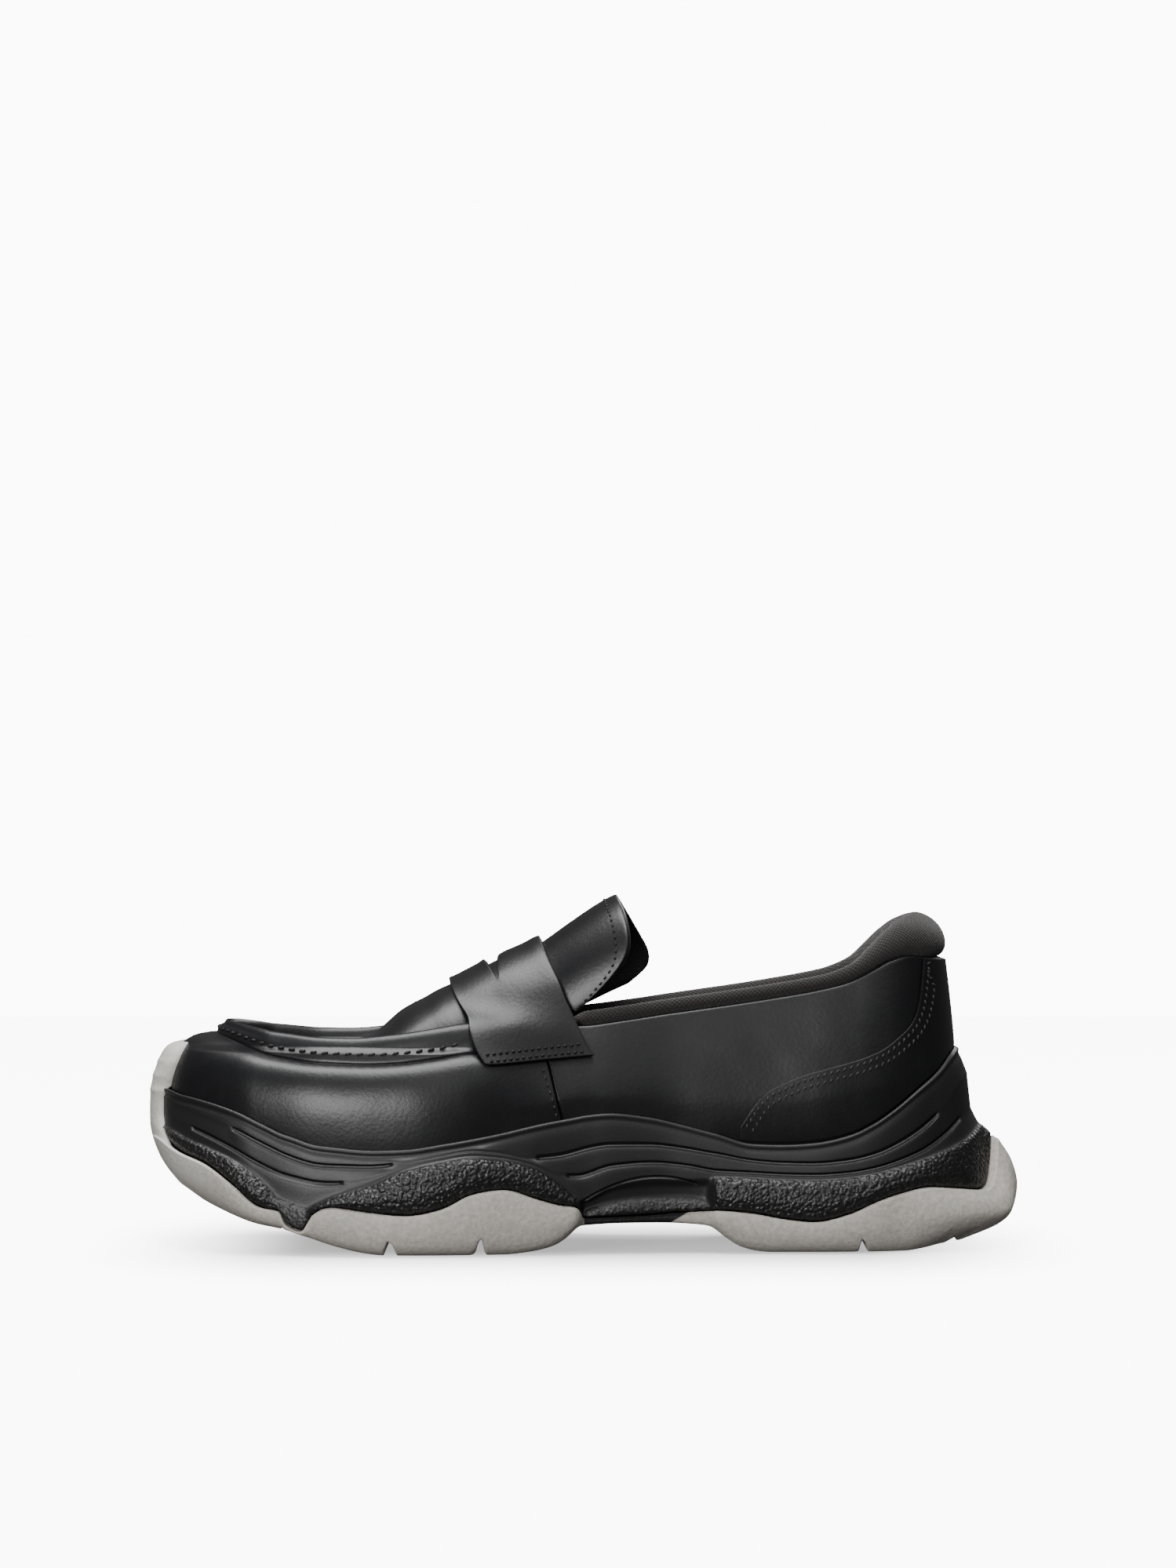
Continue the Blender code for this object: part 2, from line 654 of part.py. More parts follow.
def midsole_profile(station):
    """From the footbed edge up the cup, over the rim, and down to the rubber."""
    key = station.key
    reach = {name: station.blend(*row) for name, row in MIDSOLE_REACH.items()}
    if under_tab(station):
        reach = dict.fromkeys(reach, TAB_SEAT)
    line = {name: SIDE(name, key) for name in ("rim", "upper", "lower", "pod")}
    ledge = ledge_height(station)
    foot = BED("z", station.x - TUCK * station.out.x)
    middle = mix(foot, line["rim"], 0.5)
    rows = [(wall(station, foot) + GAP, foot)]
    rows.append((wall(station, middle) + GAP, middle))
    rows.append((wall(station, line["rim"] - 0.8) + GAP + 0.05, line["rim"] - 0.4))
    rows.append((reach["rim"] - 0.3, line["rim"]))
    rows.append((reach["bead"], line["rim"] - 2.0))
    for name in ("upper", "lower"):
        depth = 0.0 if under_tab(station) else FORM(name, key)
        half = 0.25 + 0.45 * depth / 1.2
        z = line[name]
        rows.append((reach[name + "_top"], z + half))
        rows.append((mix(reach[name + "_top"], reach[name + "_foot"], 0.5) - depth, z))
        rows.append((reach[name + "_foot"], z - half))
    tall = line["pod"] - ledge
    rows.append((reach["pod_edge"], line["pod"]))
    rows.append((reach["pod_shoulder"], line["pod"] - 0.22 * tall))
    rows.append((reach["pod_belly"], line["pod"] - 0.6 * tall))
    rows.append((reach["pod_foot"], ledge + GAP + 0.2))
    foot_out, floor = inner_foot(station)
    inner = inner_top(station)
    rows.append((inner - GAP, mix(floor, ledge, 0.85) + GAP + 0.2))
    waist = mix(foot_out, inner, 0.5 if under_tab(station) else 0.75)
    rows.append((waist - GAP, mix(floor, ledge, 0.5)))
    rows.append((foot_out - GAP, floor + FLOOR_GAP))
    return rows


def make_material(name, colour, roughness, metallic=0.0):
    material = bpy.data.materials.new(name)
    material.use_nodes = True
    shader = material.node_tree.nodes["Principled BSDF"]
    shader.inputs["Base Color"].default_value = (*colour, 1.0)
    shader.inputs["Roughness"].default_value = roughness
    shader.inputs["Metallic"].default_value = metallic
    return material


def make_cutter(name, outline, depth):
    """A prism from a flat outline, kept out of sight."""
    mesh = bmesh.new()
    face = mesh.faces.new([mesh.verts.new(metres(point)) for point in outline])
    extruded = bmesh.ops.extrude_face_region(mesh, geom=[face])
    moved = [item for item in extruded["geom"] if isinstance(item, bmesh.types.BMVert)]
    bmesh.ops.translate(mesh, verts=moved, vec=metres(depth))
    bmesh.ops.recalc_face_normals(mesh, faces=mesh.faces)
    data = bpy.data.meshes.new(name)
    mesh.to_mesh(data)
    mesh.free()
    made = bpy.data.objects.new(name, data)
    made.hide_render = True
    made.display_type = "WIRE"
    cutters.objects.link(made)
    return made


def cut(target, tool):
    modifier = target.modifiers.new(tool.name, "BOOLEAN")
    modifier.operation = "DIFFERENCE"
    modifier.solver = "EXACT"
    modifier.object = tool


def make_outsole(material):
    body = Body("outsole")
    rounds = stations(SOLE_STATIONS)
    closed_loft(
        body, rounds, outsole_profile,
        sole_cover(0.0, "floor"), sole_cover(0.0, "middle"), SOLE_SHARES,
    )
    made = body.finish(material)
    for number, (apex, top, start, end, low) in enumerate(GROOVES, 1):
        outline = [(x, -GROOVE_HALF, z) for x, z in ((start, low), (end, low), (apex, top))]
        cut(made, make_cutter(f"lug_groove_{number}", outline, (0, 2 * GROOVE_HALF, 0)))
    return made


def make_midsole(material):
    body = Body("midsole")
    rounds = stations(SOLE_STATIONS)
    closed_loft(
        body, rounds, midsole_profile,
        level, sole_cover(FLOOR_GAP, "floor"), SOLE_SHARES,
    )
    return body.finish(material)


def make_insole(material):
    body = Body("insole")
    rounds = stations(UPPER_STATIONS)
    room = TUCK + LEATHER + 2 * GAP

    def profile(station):
        foot = BED("z", station.x - room * station.out.x)
        return (
            (-room - 0.4, foot + GAP),
            (-room, foot + 1.2),
            (-room - 0.2, foot + INSOLE_WALL),
        )

    def dished(one, other, share):
        point = level(one, other, share)
        point.z -= 1.0 * (1 - share * share)
        return point

    closed_loft(body, rounds, profile, level, dished, (0.0,))
    return body.finish(material)


def crest_middle(x):
    """Sideways place of the instep's crest."""
    return PLAN("centre", x) + mix(0.0, 4.5, min(max((x + 110) / 60, 0.0), 1.0))


def arch(x, outer, inner, share, trim=0.0):
    """A point of the apron's crown between its outer and its inner edge."""
    peak = crest_middle(x) + SIDE_SHIFT
    side = outer if share < 0 else inner
    y = mix(peak, side.y, abs(share))
    low = mix(outer.z, inner.z, 0.5 + share / 2)
    height = CROWN("height", x) - trim
    z = low + height * math.sqrt(1 - abs(share) ** ARCH_POWER)
    flat = mix(outer.x, inner.x, 0.5 + share / 2)
    return Vector((flat - CROWN("tilt", x) * (z - low), y, z))


def make_upper(material):
    body = Body("upper")
    rounds = stations(UPPER_STATIONS)
    shells = []
    throat = UPPER_STATIONS.index(THROAT_X) + 1
    for rows_of, trim in ((upper_rows, 0.0), (upper_inner_rows, LEATHER * 0.2)):
        columns = [rows_of(station) for station in rounds]
        rings = []
        for number in range(len(columns[0])):
            points = [st.at(*column[number]) for st, column in zip(rounds, columns)]
            rings.append(body.row(points))
        for near, far in zip(rings, rings[1:]):
            body.band(near, far)

        def place(i, share, columns=columns, trim=trim):
            outer = rounds[i].at(*columns[i][-1])
            inner = rounds[-i].at(*columns[-i][-1])
            return arch(rounds[i].x, outer, inner, share, trim)

        across = body.cover(rings[-1], throat, place, ARCH_SHARES)
        rim = rings[-1][throat:len(rounds) - throat + 1] + across[-1][-2:0:-1]
        shells.append((rings[0], rim))
    for first, second in zip(*shells):
        body.band(first, second)
    return body.finish(material)


def thin_grid(body, outer, inner):
    """A thin sheet from two grids of points: both faces and the four edges."""
    shell = [[body.row(line) for line in grid] for grid in (outer, inner)]
    for lines in shell:
        for near, far in zip(lines, lines[1:]):
            body.band(near, far, closed=False)
    border = []
    for lines in shell:
        side = [line[-1] for line in lines[1:-1]]
        back = [line[0] for line in reversed(lines[1:-1])]
        border.append(lines[0] + side + lines[-1][::-1] + back)
    body.band(*border)


def offset_grid(grid, distance):
    """Moves each point of a grid along the grid's own normal."""
    moved = []
    rows, count = len(grid), len(grid[0])
    for i, line in enumerate(grid):
        new = []
        for j, point in enumerate(line):
            along = grid[min(i + 1, rows - 1)][j] - grid[max(i - 1, 0)][j]
            across = line[min(j + 1, count - 1)] - line[max(j - 1, 0)]
            new.append(point + along.cross(across).normalized() * distance)
        moved.append(new)
    return moved


def strap_section(place):
    """Points across the upper at one place of the strap, outer side to inner side."""
    sides = []
    along = (place - STRAP_PLACES[0]) / (STRAP_PLACES[-1] - STRAP_PLACES[0])
    low = mix(STRAP_LOW_FRONT, STRAP_LOW_BACK, along)
    for side in (-1, 1):
        points = []
        for height in (low, mix(low, STRAP_BAND_Z, 0.5), STRAP_BAND_Z):
            station = Station(place - INSTEP_TILT * (height - TILT_Z), side)
            points.append(station.at(wall(station, height), height))
        station = Station(place, side)
        rows = upper_rows(station)
        for number in (8, 9):
            points.append(station.at(*rows[number]))
        sides.append((points, station.at(*rows[-1])))
    outer, inner = sides[0][1], sides[1][1]
    top = [arch(place, outer, inner, share) for share in ARCH_SHARES]
    return sides[0][0] + top + sides[1][0][::-1]


def make_strap(material):
    body = Body("strap")
    base = [strap_section(place) for place in STRAP_PLACES]
    inner = offset_grid(base, STRAP_GAP)
    outer = offset_grid(base, STRAP_GAP + STRAP_WALL)
    thin_grid(body, outer, inner)
    made = body.finish(material)
    middle_x = STRAP_MIDDLE - INSTEP_TILT * (SLOT_BASE_Z - TILT_Z)
    middle_y = crest_middle(STRAP_MIDDLE) + SIDE_SHIFT
    outline = []
    for sign in (-1, 1):
        for i in range(SLOT_STEPS):
            t = (2 * i / SLOT_STEPS - 1) * sign
            x = middle_x - sign * SLOT_WIDTH * (1 - t * t)
            outline.append((x, middle_y + SLOT_HALF * t, SLOT_BASE_Z))
    depth = (-INSTEP_TILT * SLOT_DEPTH, 0, SLOT_DEPTH)
    cut(made, make_cutter("strap_slot", outline, depth))
    return made


def make_counter(material):
    body = Body("counter")
    places = [x for x in SOLE_STATIONS if x >= COUNTER.rows[0][0]]
    line = [Station(x, -1) for x in places] + [Station(HEEL_X, 0)]
    line += [Station(x, 1) for x in reversed(places)]
    outer, inner = [], []
    for station in line:
        low = SIDE("rim", station.key) + GAP + 0.1
        high = min(COUNTER("z", station.x), UPPER("edge", station.x) - 0.8)
        heights = [mix(low, high, share) for share in COUNTER_SHARES]
        reach = [wall(station, z) + COUNTER_GAP for z in heights]
        inner.append([station.at(out, z) for out, z in zip(reach, heights)])
        outer.append([station.at(out + COUNTER_WALL, z) for out, z in zip(reach, heights)])
    thin_grid(body, outer, inner)
    return body.finish(material)


def make_collar(material):
    body = Body("collar")
    places = [x for x in UPPER_STATIONS if x > 0]
    line = [Station(x, -1) for x in places] + [Station(HEEL_X, 0)]
    line += [Station(x, 1) for x in reversed(places)]
    rows = []
    for station in line:
        edge, inset = UPPER("edge", station.x), UPPER("inset", station.x)
        back = COLLAR_SHARE("back", station.x)
        points = []
        for side_out, side_up, back_out, back_up in COLLAR_SECTION:
            out = mix(side_out, back_out, back) - inset
            points.append(station.at(out, edge + mix(side_up, back_up, back)))
        rows.append(body.row(points))
    for near, far in zip(rows, rows[1:]):
        body.band(near, far)
    for end in (rows[0], rows[-1]):
        body.mesh.faces.new(end)
    return body.finish(material, 50.0)


def make_tongue(material):
    body = Body("tongue")
    outer, inner = [], []
    for share in TONGUE_SHARES:
        drop = 1 - math.sqrt(1 - abs(share) ** ARCH_POWER)
        side = "outer" if share < 0 else "inner"
        end = TONGUE_CREST.rows[-1][0] - TONGUE_END(side, drop)
        out_line, in_line = [], []
        for i in range(TONGUE_STEPS + 1):
            run = GAP + (end - GAP) * i / TONGUE_STEPS
            for line, trim in ((out_line, 0.0), (in_line, TONGUE_WALL)):
                half = TONGUE_CREST(side, run) - trim
                fall = TONGUE_CREST(side + "_drop", run) - trim
                lean = TONGUE_CREST("lean", run)
                down = (trim + fall * drop) / math.hypot(1.0, lean)
                y = TONGUE_MIDDLE + half * share + SIDE_SHIFT
                x = TONGUE_CREST("x", run) + lean * down
                line.append(Vector((x, y, TONGUE_CREST("z", run) - down)))
        outer.append(out_line)
        inner.append(in_line)
    thin_grid(body, outer, inner)
    return body.finish(material)


for old in list(bpy.data.objects):
    bpy.data.objects.remove(old, do_unlink=True)
parts = bpy.data.collections.new(SHOE_NAME)
cutters = bpy.data.collections.new(SHOE_NAME + "_cutters")
for collection in (parts, cutters):
    bpy.context.scene.collection.children.link(collection)

LEATHER_BLACK = (0.018, 0.018, 0.020)
FOAM_BLACK = (0.030, 0.030, 0.032)
RUBBER_GREY = (0.33, 0.31, 0.29)
LINING_BLACK = (0.045, 0.040, 0.039)

make_outsole(make_material("outsole_rubber", RUBBER_GREY, 0.75))
make_midsole(make_material("midsole_foam", FOAM_BLACK, 0.55))
make_insole(make_material("insole_cloth", LINING_BLACK, 0.95))
make_upper(make_material("upper_leather", LEATHER_BLACK, 0.38))
make_counter(make_material("counter_leather", LEATHER_BLACK, 0.38))
make_strap(make_material("strap_leather", LEATHER_BLACK, 0.35))
make_tongue(make_material("tongue_leather", LEATHER_BLACK, 0.4))
make_collar(make_material("collar_cloth", LINING_BLACK, 0.95))
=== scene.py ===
"""Looks of the lug sole loafer: every piece at full detail, with the camera and light.

The shoe is described as in its solids: a station stands on the plan outline of the
upper, and a point of a wall is so far outwards from it and so high above the ground.
Tables are in millimetres, the scene is in metres. The toe points along -X.
"""

import math

import bmesh
import bpy
from mathutils import Matrix, Vector


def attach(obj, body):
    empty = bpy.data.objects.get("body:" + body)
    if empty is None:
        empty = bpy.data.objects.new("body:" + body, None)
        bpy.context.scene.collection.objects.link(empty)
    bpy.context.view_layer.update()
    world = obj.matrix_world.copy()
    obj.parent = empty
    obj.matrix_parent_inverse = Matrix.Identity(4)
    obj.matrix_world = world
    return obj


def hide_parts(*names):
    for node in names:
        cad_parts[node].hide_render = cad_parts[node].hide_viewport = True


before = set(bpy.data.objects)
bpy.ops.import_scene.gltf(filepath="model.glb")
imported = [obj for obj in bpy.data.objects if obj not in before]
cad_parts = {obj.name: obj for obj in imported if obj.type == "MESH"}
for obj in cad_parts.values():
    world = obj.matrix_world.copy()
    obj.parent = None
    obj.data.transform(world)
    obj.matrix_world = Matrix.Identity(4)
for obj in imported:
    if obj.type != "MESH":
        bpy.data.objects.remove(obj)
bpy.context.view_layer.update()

MM = 0.001
GAP = 0.3            # clearance that touching pieces keep
FLOOR_GAP = 0.5      # and where the midsole's curved underside lies in the rubber

TOE_X = -150.0       # the upper's plan outline, toe tip
HEEL_X = 132.5       # the upper's plan outline, back of the heel
TOE_ROUND = 34.0     # length over which the outline closes at the toe
HEEL_ROUND = 35.0    # and at the heel
TOE_POWER = 2.3      # how square the round ends are, 2 being an ellipse
HEEL_POWER = 2.2
SIDE_SHIFT = -0.4    # moves the whole shoe sideways, to centre it on the X axis
KEY_REACH = 6.0      # sole lines are looked up this far outside the outline

LEATHER = 2.0        # upper wall
TUCK = 2.5           # how far the upper draws in at its bottom edge
STRAP_WALL = 1.6
STRAP_GAP = 0.55
COUNTER_WALL = 1.1
TONGUE_WALL = 4.2
INSOLE_WALL = 4.0
TAB_SEAT = 2.2       # outward reach of the midsole under the toe tab
THROAT_X = -8.0      # the apron ends and the tongue begins
TONGUE_MIDDLE = 2.0  # the tongue's crest lies towards the inner side
STRAP_MIDDLE = -19.5
INSTEP_TILT = 0.45   # sections over the instep lean forward as they rise
TILT_Z = 78.0        # and cross their station at this height
ARCH_POWER = 2.3     # how full the crown's sections are, 2 being an ellipse

# The strap: its two long edges, the ends of both, and where it meets the stitched band.
STRAP_FRONT_X = -39.3
STRAP_BACK_X = 0.3
STRAP_LOW_FRONT = 65.8
STRAP_LOW_BACK = 69.2
STRAP_BAND_Z = 75.0
STRAP_SLOPE = 3.8    # the front edge falls back by this much over the crest

# The strap's slot, a leaf across the crest. Drawing the leather smooth narrows it.
SLOT_HALF_LENGTH = 26.0
SLOT_HALF_WIDTH = 2.9

# The side seam between vamp and quarters, a slanting line.
SEAM_X = -12.0       # its place at the height of SEAM_Z
SEAM_Z = 67.0
SEAM_LEAN = 0.25     # and how far it leans back on its way down


class Table:
    """Rows of numbers under named columns, read smoothly and without overshoot."""

    def __init__(self, names, *rows):
        self.column = {name: number for number, name in enumerate(names.split())}
        self.rows = rows

    def rise(self, column, row):
        here, there = self.rows[row], self.rows[row + 1]
        return (there[column] - here[column]) / (there[0] - here[0])

    def slope(self, column, row):
        if row == 0:
            return self.rise(column, 0)
        if row == len(self.rows) - 1:
            return self.rise(column, row - 1)
        before, after = self.rise(column, row - 1), self.rise(column, row)
        if before * after <= 0:
            return 0.0
        return 2 * before * after / (before + after)

    def __call__(self, name, x):
        column = self.column[name]
        if x <= self.rows[0][0]:
            return self.rows[0][column]
        if x >= self.rows[-1][0]:
            return self.rows[-1][column]
        row = next(i for i in range(len(self.rows)) if self.rows[i + 1][0] >= x)
        start, end = self.rows[row], self.rows[row + 1]
        span = end[0] - start[0]
        t = (x - start[0]) / span
        push = span * self.slope(column, row)
        pull = span * self.slope(column, row + 1)
        return (
            start[column] * (1 + 2 * t) * (1 - t) ** 2
            + end[column] * t * t * (3 - 2 * t)
            + push * t * (1 - t) ** 2
            - pull * t * t * (1 - t)
        )


# Plan outline of the upper at its widest.
PLAN = Table(
    "x half centre",
    (-150, 31.0, 6.0),
    (-133, 36.5, 5.0),
    (-116, 42.5, 3.5),
    (-94, 48.0, 2.0),
    (-71, 49.5, 0.5),
    (-48, 47.5, -1.5),
    (-23, 42.0, -2.0),
    (5, 36.0, -2.0),
    (34, 33.0, -1.0),
    (82, 33.5, 0.0),
    (104, 32.0, 0.0),
    (132.5, 30.0, 0.0),
)

# The upper: height of its widest point, height of the seam ridge or of the collar edge,
# how far that edge lies in from the outline, and the height of the band under the ridge.
UPPER = Table(
    "x widest edge inset band",
    (-150, 55.0, 80.7, 20.5, 4.4),
    (-140, 54.0, 80.3, 19.5, 5.2),
    (-125, 51.0, 78.9, 17.0, 7.2),
    (-110, 48.5, 77.3, 15.3, 8.6),
    (-97, 47.0, 76.2, 14.5, 9.0),
    (-84, 46.0, 76.0, 14.0, 9.3),
    (-68, 46.0, 77.3, 14.0, 10.4),
    (-50, 46.5, 79.7, 14.0, 10.8),
    (-40, 47.5, 81.1, 13.8, 10.5),
    (-25, 50.0, 82.2, 13.0, 10.0),
    (-8, 53.0, 81.0, 11.3, 10.0),
    (0, 54.0, 80.0, 10.0, 10.0),
    (16, 54.0, 81.8, 9.0, 10.0),
    (33, 52.0, 84.5, 8.8, 10.0),
    (60, 52.0, 88.4, 8.5, 10.0),
    (83, 54.0, 92.3, 8.0, 10.0),
    (94, 56.0, 94.8, 7.5, 10.0),
    (105, 58.0, 99.6, 7.0, 10.0),
    (112, 60.0, 102.8, 6.5, 10.0),
    (120, 62.0, 104.6, 5.5, 10.0),
    (132.5, 66.0, 103.4, 3.6, 10.0),
)

# Height of the footbed.
BED = Table(
    "x z",
    (-148, 48.5), (-138, 43.5), (-125, 38.0), (-110, 33.2), (-97, 30.2), (-69, 27.2),
    (-40, 27.0), (2, 30.0), (44, 33.0), (73, 34.0), (129, 35.0),
)

# The apron's crown over its own edge, and how far its sections lean forward.
CROWN = Table(
    "x height tilt",
    (-150, 0.0, 0.0),
    (-118, 0.8, 0.0),
    (-100, 1.4, 0.0),
    (-85, 2.6, 0.05),
    (-76, 4.6, 0.12),
    (-68, 8.2, 0.22),
    (-60, 11.6, 0.33),
    (-50, 14.4, 0.41),
    (-40, 16.8, 0.45),
    (-20, 21.8, 0.45),
    (-8, 25.0, 0.45),
    (0, 29.6, 0.45),
    (6, 32.4, 0.45),
)

# Lines along the side of the sole: top rim, the two moulded lines, the upper edge of
# the textured pods, and the top of the grey rubber.
SIDE = Table(
    "x rim upper lower pod grey",
    (-156.0, 57.0, 52.0, 48.0, 43.5, 40.4),
    (-151.0, 56.2, 51.4, 47.0, 42.8, 38.8),
    (-147.0, 55.1, 50.5, 45.7, 41.6, 36.6),
    (-143.0, 54.5, 49.8, 44.4, 39.8, 34.7),
    (-134.0, 52.7, 47.3, 41.2, 37.0, 31.6),
    (-123.0, 49.5, 43.2, 36.4, 32.6, 24.4),
    (-114.0, 45.6, 39.0, 31.8, 26.4, 17.0),
    (-107.0, 42.5, 35.8, 28.8, 20.4, 15.4),
    (-105.0, 42.0, 35.0, 28.2, 19.4, 10.8),
    (-99.0, 40.0, 33.1, 26.8, 17.6, 8.4),
    (-97.0, 39.4, 32.6, 26.4, 17.0, 11.6),
    (-94.0, 38.8, 32.0, 25.9, 17.8, 15.6),
    (-89.0, 38.3, 31.7, 25.6, 20.2, 17.4),
    (-75.0, 37.2, 31.5, 27.4, 24.8, 15.7),
    (-62.0, 37.6, 33.2, 32.0, 30.2, 14.6),
    (-50.0, 39.3, 35.6, 34.4, 33.0, 16.8),
    (-39.0, 41.0, 37.4, 36.0, 34.6, 22.1),
    (-28.0, 43.0, 36.4, 35.0, 33.6, 23.6),
    (-17.0, 45.5, 34.0, 32.2, 30.6, 20.2),
    (-8.0, 47.2, 34.6, 28.2, 24.8, 17.6),
    (-1.5, 48.3, 36.1, 27.6, 19.6, 16.8),
    (0.8, 48.8, 36.8, 28.0, 19.6, 12.6),
    (10.0, 49.6, 38.3, 31.0, 24.4, 12.8),
    (24.0, 48.0, 38.2, 32.0, 26.6, 13.3),
    (36.0, 45.1, 36.8, 31.0, 26.4, 14.3),
    (45.0, 42.7, 35.2, 29.3, 26.6, 14.8),
    (47.0, 42.2, 34.9, 29.0, 26.8, 15.2),
    (60.0, 38.5, 32.5, 28.3, 26.4, 14.2),
    (71.0, 38.2, 31.6, 27.7, 25.8, 12.2),
    (82.0, 38.8, 31.4, 27.5, 25.6, 11.1),
    (94.0, 41.2, 32.4, 28.2, 26.4, 13.8),
    (104.0, 45.6, 34.6, 29.9, 28.0, 18.3),
    (112.0, 50.5, 37.8, 32.2, 30.0, 21.0),
    (121.0, 57.0, 43.0, 35.8, 32.8, 23.0),
    (130.0, 63.5, 51.0, 42.0, 36.6, 22.0),
    (135.5, 69.0, 58.6, 47.6, 40.0, 21.0),
    (137.0, 70.3, 59.9, 48.7, 41.6, 22.6),
    (138.0, 71.1, 60.7, 49.7, 42.8, 31.5),
    (138.5, 71.4, 61.0, 50.0, 43.4, 39.4),
)

# Where the two moulded lines are cut, with their definite ends.
LINES = Table(
    "x upper lower",
    (-156.0, 0.0, 0.0),
    (-142.0, 0.0, 0.0),
    (-139.0, 0.0, 1.0),
    (-126.5, 0.0, 1.0),
    (-123.5, 1.0, 1.0),
    (-86.5, 1.0, 1.0),
    (-84.0, 1.0, 0.0),
    (-69.0, 1.0, 0.0),
    (-66.5, 0.0, 0.0),
    (-17.0, 0.0, 0.0),
    (-14.5, 1.0, 0.0),
    (-6.0, 1.0, 0.0),
    (-3.5, 1.0, 1.0),
    (126.0, 1.0, 1.0),
    (128.5, 0.0, 1.0),
    (133.0, 0.0, 1.0),
    (135.5, 0.0, 0.0),
    (138.5, 0.0, 0.0),
)

# The dark lens in the side of the shank, top and bottom edge.
LENS = Table(
    "x top bottom",
    (0.5, 12.6, 12.0), (2.0, 15.8, 9.5), (10.0, 17.8, 10.6), (24.0, 19.6, 11.2),
    (38.0, 19.4, 10.2), (44.0, 17.6, 9.0),
)

# How far the pods swell out (1) or the shank draws in (-0.8).
FORM = Table(
    "x swell",
    (-156.0, 1.0), (-126.0, 1.0), (-114.0, 0.8), (-107.0, 0.2), (-97.0, 0.2), (-93.0, 0.9),
    (-84.0, 1.0), (-17.0, 1.0), (-5.0, 0.9), (-1.5, 0.8), (0.8, -0.8), (36.0, -0.8),
    (43.5, -0.6), (47.5, 0.8), (60.0, 1.0), (138.5, 1.0),
)

# Underside of the grey rubber along its middle and along its edge, and the floor that
# the midsole lies on.
GROUND = Table(
    "x middle edge floor",
    (-152.0, 31.0, 31.0, 37.0),
    (-146.5, 24.2, 24.2, 32.0),
    (-141.0, 19.8, 22.8, 27.5),
    (-134.0, 15.3, 19.4, 23.0),
    (-124.0, 11.2, 14.2, 18.0),
    (-116.0, 8.8, 11.2, 14.0),
    (-106.0, 7.0, 9.2, 12.0),
    (-96.0, 4.8, 6.0, 11.0),
    (-86.0, 2.3, 2.8, 10.2),
    (-76.0, 0.5, 0.6, 9.6),
    (-70.0, 0.0, 0.0, 9.5),
    (-28.0, 0.0, 0.0, 9.5),
    (-18.0, 0.8, 1.0, 10.0),
    (-10.0, 2.6, 3.0, 11.0),
    (-5.0, 6.0, 6.2, 11.6),
    (-1.5, 9.4, 9.4, 12.0),
    (0.8, 9.8, 9.8, 12.0),
    (14.0, 10.4, 10.4, 12.2),
    (26.0, 10.4, 10.4, 12.7),
    (40.0, 9.7, 9.7, 13.4),
    (45.0, 9.0, 9.0, 13.4),
    (50.0, 5.6, 5.6, 12.4),
    (56.0, 1.8, 1.8, 11.0),
    (63.0, 0.2, 0.2, 10.0),
    (66.0, 0.0, 0.0, 9.6),
    (114.0, 0.0, 0.0, 9.4),
    (121.0, 0.4, 0.9, 9.8),
    (129.0, 1.2, 3.2, 11.0),
    (136.0, 2.2, 4.6, 13.0),
    (142.0, 4.9, 7.4, 16.0),
    (148.0, 9.0, 10.5, 20.0),
)

# Outward reach of the sole's rows: on the side, with the share of the pods' swell, at the
# middle of the toe and at the middle of the heel.
MIDSOLE_REACH = {
    # side, swell, toe, heel
    "rim": (1.8, 0.0, TAB_SEAT, 1.3),
    "bead": (2.5, 0.0, TAB_SEAT, 2.8),
    "upper_top": (3.0, 0.0, TAB_SEAT, 5.4),
    "upper_foot": (4.0, 0.0, TAB_SEAT, 6.0),
    "lower_top": (4.6, 0.0, TAB_SEAT, 6.6),
    "lower_foot": (5.4, 0.0, TAB_SEAT, 7.0),
    "pod_edge": (5.6, 0.0, TAB_SEAT, 9.6),
    "pod_shoulder": (5.6, 2.6, TAB_SEAT, 11.6),
    "pod_belly": (5.6, 3.4, TAB_SEAT, 13.4),
    "pod_foot": (5.6, 2.4, TAB_SEAT, 14.4),
}
OUTSOLE_REACH = (
    # share of height, side, swell, toe, heel
    (0.93, 5.5, 3.2, 5.2, 17.8),
    (0.74, 5.5, 3.3, 4.2, 22.0),
    (0.46, 5.3, 3.0, 2.2, 23.5),
    (0.18, 4.3, 2.3, -0.8, 15.5),
    (0.0, 2.6, 1.5, -3.5, 5.0),
)
OUTSOLE_LIP = (5.2, 2.8, 5.3, 15.4)
OUTSOLE_INNER_TOP = (1.4, 2.6, 2.5, 11.0)
OUTSOLE_INNER_LOW = (0.4, 2.0, -6.0, 9.0)

# Front edge of the heel counter, from the sole's rim up to the collar.
COUNTER = Table(
    "x z",
    (55, 43.0), (58, 47.5), (61.6, 53.0), (65.4, 56.6), (70, 59.0), (78, 62.4), (88, 65.2),
    (98, 68.0), (106, 71.2), (112, 75.4), (117, 80.0), (120.3, 86.0), (122.6, 95.0),
    (124.4, 104.0),
)

# How far the collar's section has passed from the sides' form to the heel's.
COLLAR_SHARE = Table(
    "x back",
    (88, 0.0), (97, 0.14), (105, 0.38), (113, 0.53), (118, 0.63), (122, 0.73), (127, 0.87),
    (132.5, 1.0),
)

